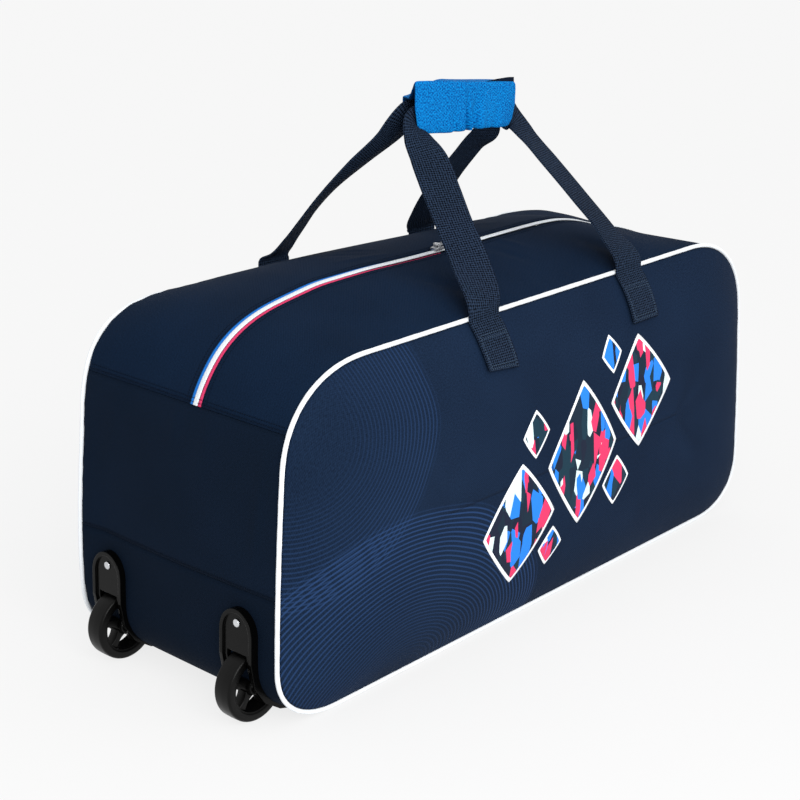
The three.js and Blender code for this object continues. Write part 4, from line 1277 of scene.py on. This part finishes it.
box_stitches()
tell()

# %% [markdown]
# The wrap is a padded sleeve of bright blue cloth, closed over the two straps, with a dark lining. Its
# front stands higher than its back at the wheel end, its lower corners are drawn in where the straps
# leave it, and a pinched crease runs up from its lower edge. A dark flap shows above its far end.

# %% Wrap
WRAP = {
    "start": -60.0, "end": 116.0, "top": (605.0, 583.5), "foot": (542.5, 533.0), "depth": 30.0, "wall": 3.0
}
# how much lower the back is at the near end, how square a ring is (0 is a box), and its points
WRAP_SLANT, WRAP_SQUARE, SLEEVE_SIDES = 20.0, 0.15, 112
# creases of the wrap: place along it, narrowness, depth in mm, how far up they reach
CREASES = [
    (0.49, 0.010, 8.5, 0.62), (0.575, 0.028, 6.5, 0.62), (0.36, 0.03, 1.8, 0.5), (0.80, 0.03, 1.4, 0.5)
]


def sleeve_ring(share, angle, inset):
    """One wall of the sleeve: rounded-box rings, cut at the lower corners, slanted and creased."""
    c, s = np.cos(angle), np.sin(angle)
    top = WRAP["top"][0] + (WRAP["top"][1] - WRAP["top"][0]) * share + 0.3 * np.sin(share * 9)
    foot = WRAP["foot"][0] + (WRAP["foot"][1] - WRAP["foot"][0]) * share + 0.8 * np.sin(share * 11 + 1)
    half, middle = (top - foot) / 2, (top + foot) / 2
    plump = 1.4 * (1 - (2 * share - 1) ** 4) - 0.8
    wide = WRAP["depth"] / 2 + plump - inset
    y = np.sign(c) * np.abs(c) ** WRAP_SQUARE * wide
    up = np.sign(s) * np.abs(s) ** WRAP_SQUARE
    z = middle + up * (half - inset)
    low = np.clip((-up - 0.25) / 0.75, 0, 1)
    front = ease(-c + 0.5)
    for place, narrow, deep, reach in CREASES:
        line = place + 0.012 * (up + 1)
        fade = ease((-up + 1 - 2 * (1 - reach)) / 0.8)
        y += deep * np.exp(-(((share - line) / narrow) ** 2)) * fade * front
        y -= deep * 0.6 * np.exp(-(((share - line - 2.4 * narrow) / (narrow * 1.6)) ** 2)) * fade * front
        z += deep * 0.5 * np.exp(-(((share - line) / narrow) ** 2)) * ease((-up - 0.9) / 0.1) * front
    ripple = 0.45 * np.sin(share * 23 + 2.5 * up) * np.sin(share * 9 + up * 4)
    ripple += 0.2 * np.sin(share * 60 + up * 6)
    y -= ripple * front
    back = (np.clip(y / (WRAP["depth"] / 2), -1, 1) + 1) / 2
    slant = WRAP_SLANT * (1 - ease(share / 0.42))
    z -= slant * ease(back * 2.2 - 0.1) * np.clip((up + 1) / 2, 0, 1) ** 1.5
    x = WRAP["start"] + (WRAP["end"] - WRAP["start"]) * share
    far_cut = 11 + 33 * ease(back * 1.4 - 0.2)
    x += 14 * low**2.4 * (1 - share) ** 2 - far_cut * low**1.3 * share**2
    x += 9 * back * (1 - share) ** 3
    return np.stack([x, y, z], -1)


def wrap():
    """The sleeve's outer and inner wall as one closed ring grid; the inner faces get the dark lining."""
    steps = np.concatenate([[0, 0.004], np.linspace(0.012, 0.988, 210), [0.996, 1]])
    share, angle = crossed(steps, full_turn(SLEEVE_SIDES))
    rim = 1.1 * (np.exp(-share / 0.006) + np.exp(-(1 - share) / 0.006))
    outer, inner = sleeve_ring(share, angle, rim), sleeve_ring(share, angle, WRAP["wall"] - 0.4 * rim)
    sleeve = np.concatenate([outer, inner[::-1]])
    mesh = grid_mesh("wrap_sleeve", sleeve, ring_rows=True, ring_columns=True)
    mesh.materials.append(wrap_cloth)
    piece = new_object("wrap_sleeve", mesh, wrap_lining, "bag", ["handle_wrap"])
    ring = np.repeat(np.arange(2 * len(steps)), SLEEVE_SIDES)
    mesh.polygons.foreach_set("material_index", (ring >= len(steps) - 1).astype(np.int32))
    return piece


def wrap_flap():
    """A thin dark strip that stands up behind the sleeve's top edge at its far end."""
    share, up = crossed(np.linspace(0.52, 1.0, 40), np.linspace(0, 1, 5))
    ring = sleeve_ring(share, 0 * share + np.radians(118), 1.4)
    rise = 7.5 * ease((share - 0.5) / 0.5) * up
    lean = 2.0 * up * np.sin(share * 8)
    grid = ring + np.stack([2.0 * up * share, 1.2 + lean, rise - 1.0], -1)
    piece = new_object("wrap_flap", grid_mesh("wrap_flap", grid), binding_cloth, "bag", [])
    return thicken(piece, 1.2, 0.0)


wrap()
wrap_flap()
tell()

# %% [markdown]
# Each wheel is one moulding: a wide tread with rounded shoulders, five spokes and a hub. The tread and
# the hub are profiles turned about the axle, which gives them round edges without any cutting. A spoke is
# a short profile carried from the hub to the tread. It is slim halfway and widens at both ends, as
# moulded spokes do.

# %% Wheels
def lathe(profile, steps, centre):
    """A profile of (radius, place across) pairs turned about the wheel's axle, which runs along Y."""
    profile = np.asarray(profile, float)
    angle = full_turn(steps)
    radius, across = profile[:, 0], profile[:, 1]
    x = np.cos(angle)[:, None] * radius[None]
    z = np.sin(angle)[:, None] * radius[None]
    y = np.broadcast_to(across[None], x.shape)
    return np.stack([x, y, z], -1) + np.asarray(centre, float)


def rounded(points, radius=1.0, steps=4):
    """A closed profile with each corner replaced by a small arc (a quadratic curve through the corner)."""
    points = np.asarray(points, float)
    before, after = np.roll(points, 1, 0), np.roll(points, -1, 0)
    reach = np.minimum(radius, 0.45 * np.minimum(np.linalg.norm(before - points, axis=1),
                                                  np.linalg.norm(after - points, axis=1)))[:, None]
    start, end = points + unit(before - points) * reach, points + unit(after - points) * reach
    t = np.linspace(0, 1, steps)[None, :, None]
    arcs = start[:, None] * (1 - t) ** 2 + 2 * points[:, None] * t * (1 - t) + end[:, None] * t**2
    return arcs.reshape(-1, 2)


WHEEL_RADIUS, WHEEL_WIDTH, WHEEL_RIM, WHEEL_HUB, BORE = 39.0, 23.5, 11.0, 10.0, 4.5
# how many spokes, the first one's angle, the radius where they are slimmest, and how they widen from there
SPOKES, FIRST_SPOKE, SPOKE_WAIST, FLARE_REACH, SPOKE_FLARE = 5, 0.3, 19, 10, 0.8


def wheel(name, side, body, replaces):
    """A tread, spokes and a hub, joined into one mesh."""
    half = WHEEL_WIDTH / 2
    inner = WHEEL_RADIUS - WHEEL_RIM
    centre = (WHEEL_X, side * WHEEL_Y, WHEEL_Z)
    rim = [(inner, -half + 1.2), (inner + 1.2, -half + 1.2), (inner + 3, -half), (WHEEL_RADIUS - 1.4, -half),
           (WHEEL_RADIUS, -half + 2.0)]
    mirrored_rim = [(radius, -across) for radius, across in rim[::-1]]
    tread = rounded(rim + [(WHEEL_RADIUS + 0.3, 0.0)] + mirrored_rim, 1.6, 5)
    hub = rounded([(BORE, -half), (WHEEL_HUB - 1, -half), (WHEEL_HUB, -half + 3), (WHEEL_HUB, half - 3),
                   (WHEEL_HUB - 1, half), (BORE, half)], 1.0, 4)
    parts = [(lathe(tread, 96, centre), True), (lathe(hub, 48, centre), True)]
    spoke = rounded([(-3.5, -6.5), (3.5, -6.5), (3.5, 6.5), (-3.5, 6.5)], 1.2, 4)
    for k in range(SPOKES):
        angle = 2 * np.pi * k / SPOKES + FIRST_SPOKE
        reach = np.linspace(WHEEL_HUB - 1, inner + 1, 10)[[0, *range(10), -1]]
        r, t = crossed(reach, np.arange(len(spoke)))
        flare = 1 + SPOKE_FLARE * ((r - SPOKE_WAIST) / FLARE_REACH) ** 2
        flare[[0, -1]] = 0
        side_way, across = spoke[t, 0] * flare, spoke[t, 1] * np.minimum(flare, 1)
        x = np.cos(angle) * r - np.sin(angle) * side_way
        z = np.sin(angle) * r + np.cos(angle) * side_way
        parts.append((np.stack([x, across, z], -1) + centre, False))
    points, faces, offset = [], [], 0
    for grid, ring in parts:
        rows, columns = grid.shape[:2]
        corner_i, corner_j = grid_faces(rows, columns, ring, True)
        faces.append((corner_i % rows) * columns + corner_j % columns + offset)
        points.append(grid.reshape(-1, 3))
        offset += rows * columns
    mesh = weld(mesh_of(name, np.concatenate(points), np.concatenate(faces)))
    return new_object(name, mesh, wheel_rubber, body, replaces)


wheel("rolling_wheel_front", -1, "wheel_front", ["wheel_front"])
wheel("rolling_wheel_back", 1, "wheel_back", ["wheel_back"])
tell()

# %% [markdown]
# The rivets that hold the wheel housings have low domed heads. A dome is a profile turned about its axis:
# a short straight rim, then a quarter of a flattened circle up to the middle.

# %% Rivet heads
def rivet(name, node):
    """A turned dome that fills the box of its CAD node; its axis runs along X, and it faces the wheel end."""
    low, high = (np.array(corner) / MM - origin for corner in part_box(node))
    middle, radius, rise = (low + high) / 2, (high[2] - low[2]) / 2, high[0] - low[0]
    turn = np.linspace(0, np.pi / 2, 9)
    reach = np.concatenate([[0.0, radius], radius * np.cos(turn), [0.0]])
    out = np.concatenate([[0.0, 0.0], rise * (0.25 + 0.75 * np.sin(turn)), [rise]])
    angle = full_turn(28)
    y = middle[1] + np.cos(angle)[:, None] * reach[None]
    z = middle[2] + np.sin(angle)[:, None] * reach[None]
    x = np.broadcast_to(high[0] - out[None], y.shape)
    mesh = weld(grid_mesh(name, np.stack([x, y, z], -1), ring_rows=True))
    return new_object(name, mesh, bright_metal, "bag", [node])


rivet("rivet_head_front", "housing_rivet_front")
rivet("rivet_head_back", "housing_rivet_back")
tell()

# %% [markdown]
# Six pieces of the CAD are good enough to be seen as they are. They only get their finishes.

# %% Finishes of the CAD pieces that stay
for name in ("zip_slider", "zip_pull", "axle_front", "axle_back"):
    frame["nodes"][name].material_slots[0].material = bright_metal
for name in ("wheel_housing_front", "wheel_housing_back"):
    frame["nodes"][name].material_slots[0].material = black_plastic
print("the CAD's slider, pull, axles and housings have their finishes")

# %% [markdown]
# The bag stands on a plain pale floor under soft, even studio light.

# %% Floor and light
floor_mesh = bpy.data.meshes.new("floor")
floor_corners = [(-8, -8, -0.0005), (8, -8, -0.0005), (8, 8, -0.0005), (-8, 8, -0.0005)]
floor_mesh.from_pydata(floor_corners, [], [(0, 1, 2, 3)])
floor = bpy.data.objects.new("floor", floor_mesh)
bpy.context.scene.collection.objects.link(floor)
floor_mesh.materials.append(start_material("floor", 1.0, 0.0)[0])
FLOOR_SHADE, FLOOR_GLOW = 0.12, 0.80
floor_shader = floor_mesh.materials[0].node_tree.nodes["Principled BSDF"]
floor_shader.inputs["Base Color"].default_value = (FLOOR_SHADE, FLOOR_SHADE, FLOOR_SHADE, 1)
floor_shader.inputs["Emission Color"].default_value = (1, 1, 1, 1)
floor_shader.inputs["Emission Strength"].default_value = FLOOR_GLOW

world = bpy.data.worlds.new("studio")
world.use_nodes = True
world.node_tree.nodes["Background"].inputs[0].default_value = (1, 1, 1, 1)
world.node_tree.nodes["Background"].inputs[1].default_value = 0.94
bpy.context.scene.world = world
bpy.context.scene.view_settings.view_transform = "Standard"


def studio_light(name, kind, energy, back, place=(0.0, 0.0, 0.0)):
    """A light whose back points in a direction; its three axes and its place fill its matrix."""
    light = bpy.data.objects.new(name, bpy.data.lights.new(name, kind))
    light.data.energy = energy
    back = unit(np.array(back, float))
    right = unit(np.cross((0, 0, 1), back))
    turned = np.eye(4)
    turned[:3] = np.stack([right, np.cross(back, right), back, place], 1)
    light.matrix_world = Matrix(turned.tolist())
    bpy.context.scene.collection.objects.link(light)
    return light


# the sun's disc is very wide, so that its shadows are soft; the panel's light weakens with the distance
SUN_SPREAD, PANEL_SIZE = 50, 1.0
panel_place, panel_aim = np.array((-0.95, -1.5, 1.0)), np.array((-0.3, 0.0, 0.2))
studio_light("key light", "SUN", 0.7, (0.35, -1.0, 0.75)).data.angle = np.radians(SUN_SPREAD)
studio_light("near panel", "AREA", 22.0, panel_place - panel_aim, panel_place).data.size = PANEL_SIZE
print("lights:", [light.name for light in bpy.data.lights])
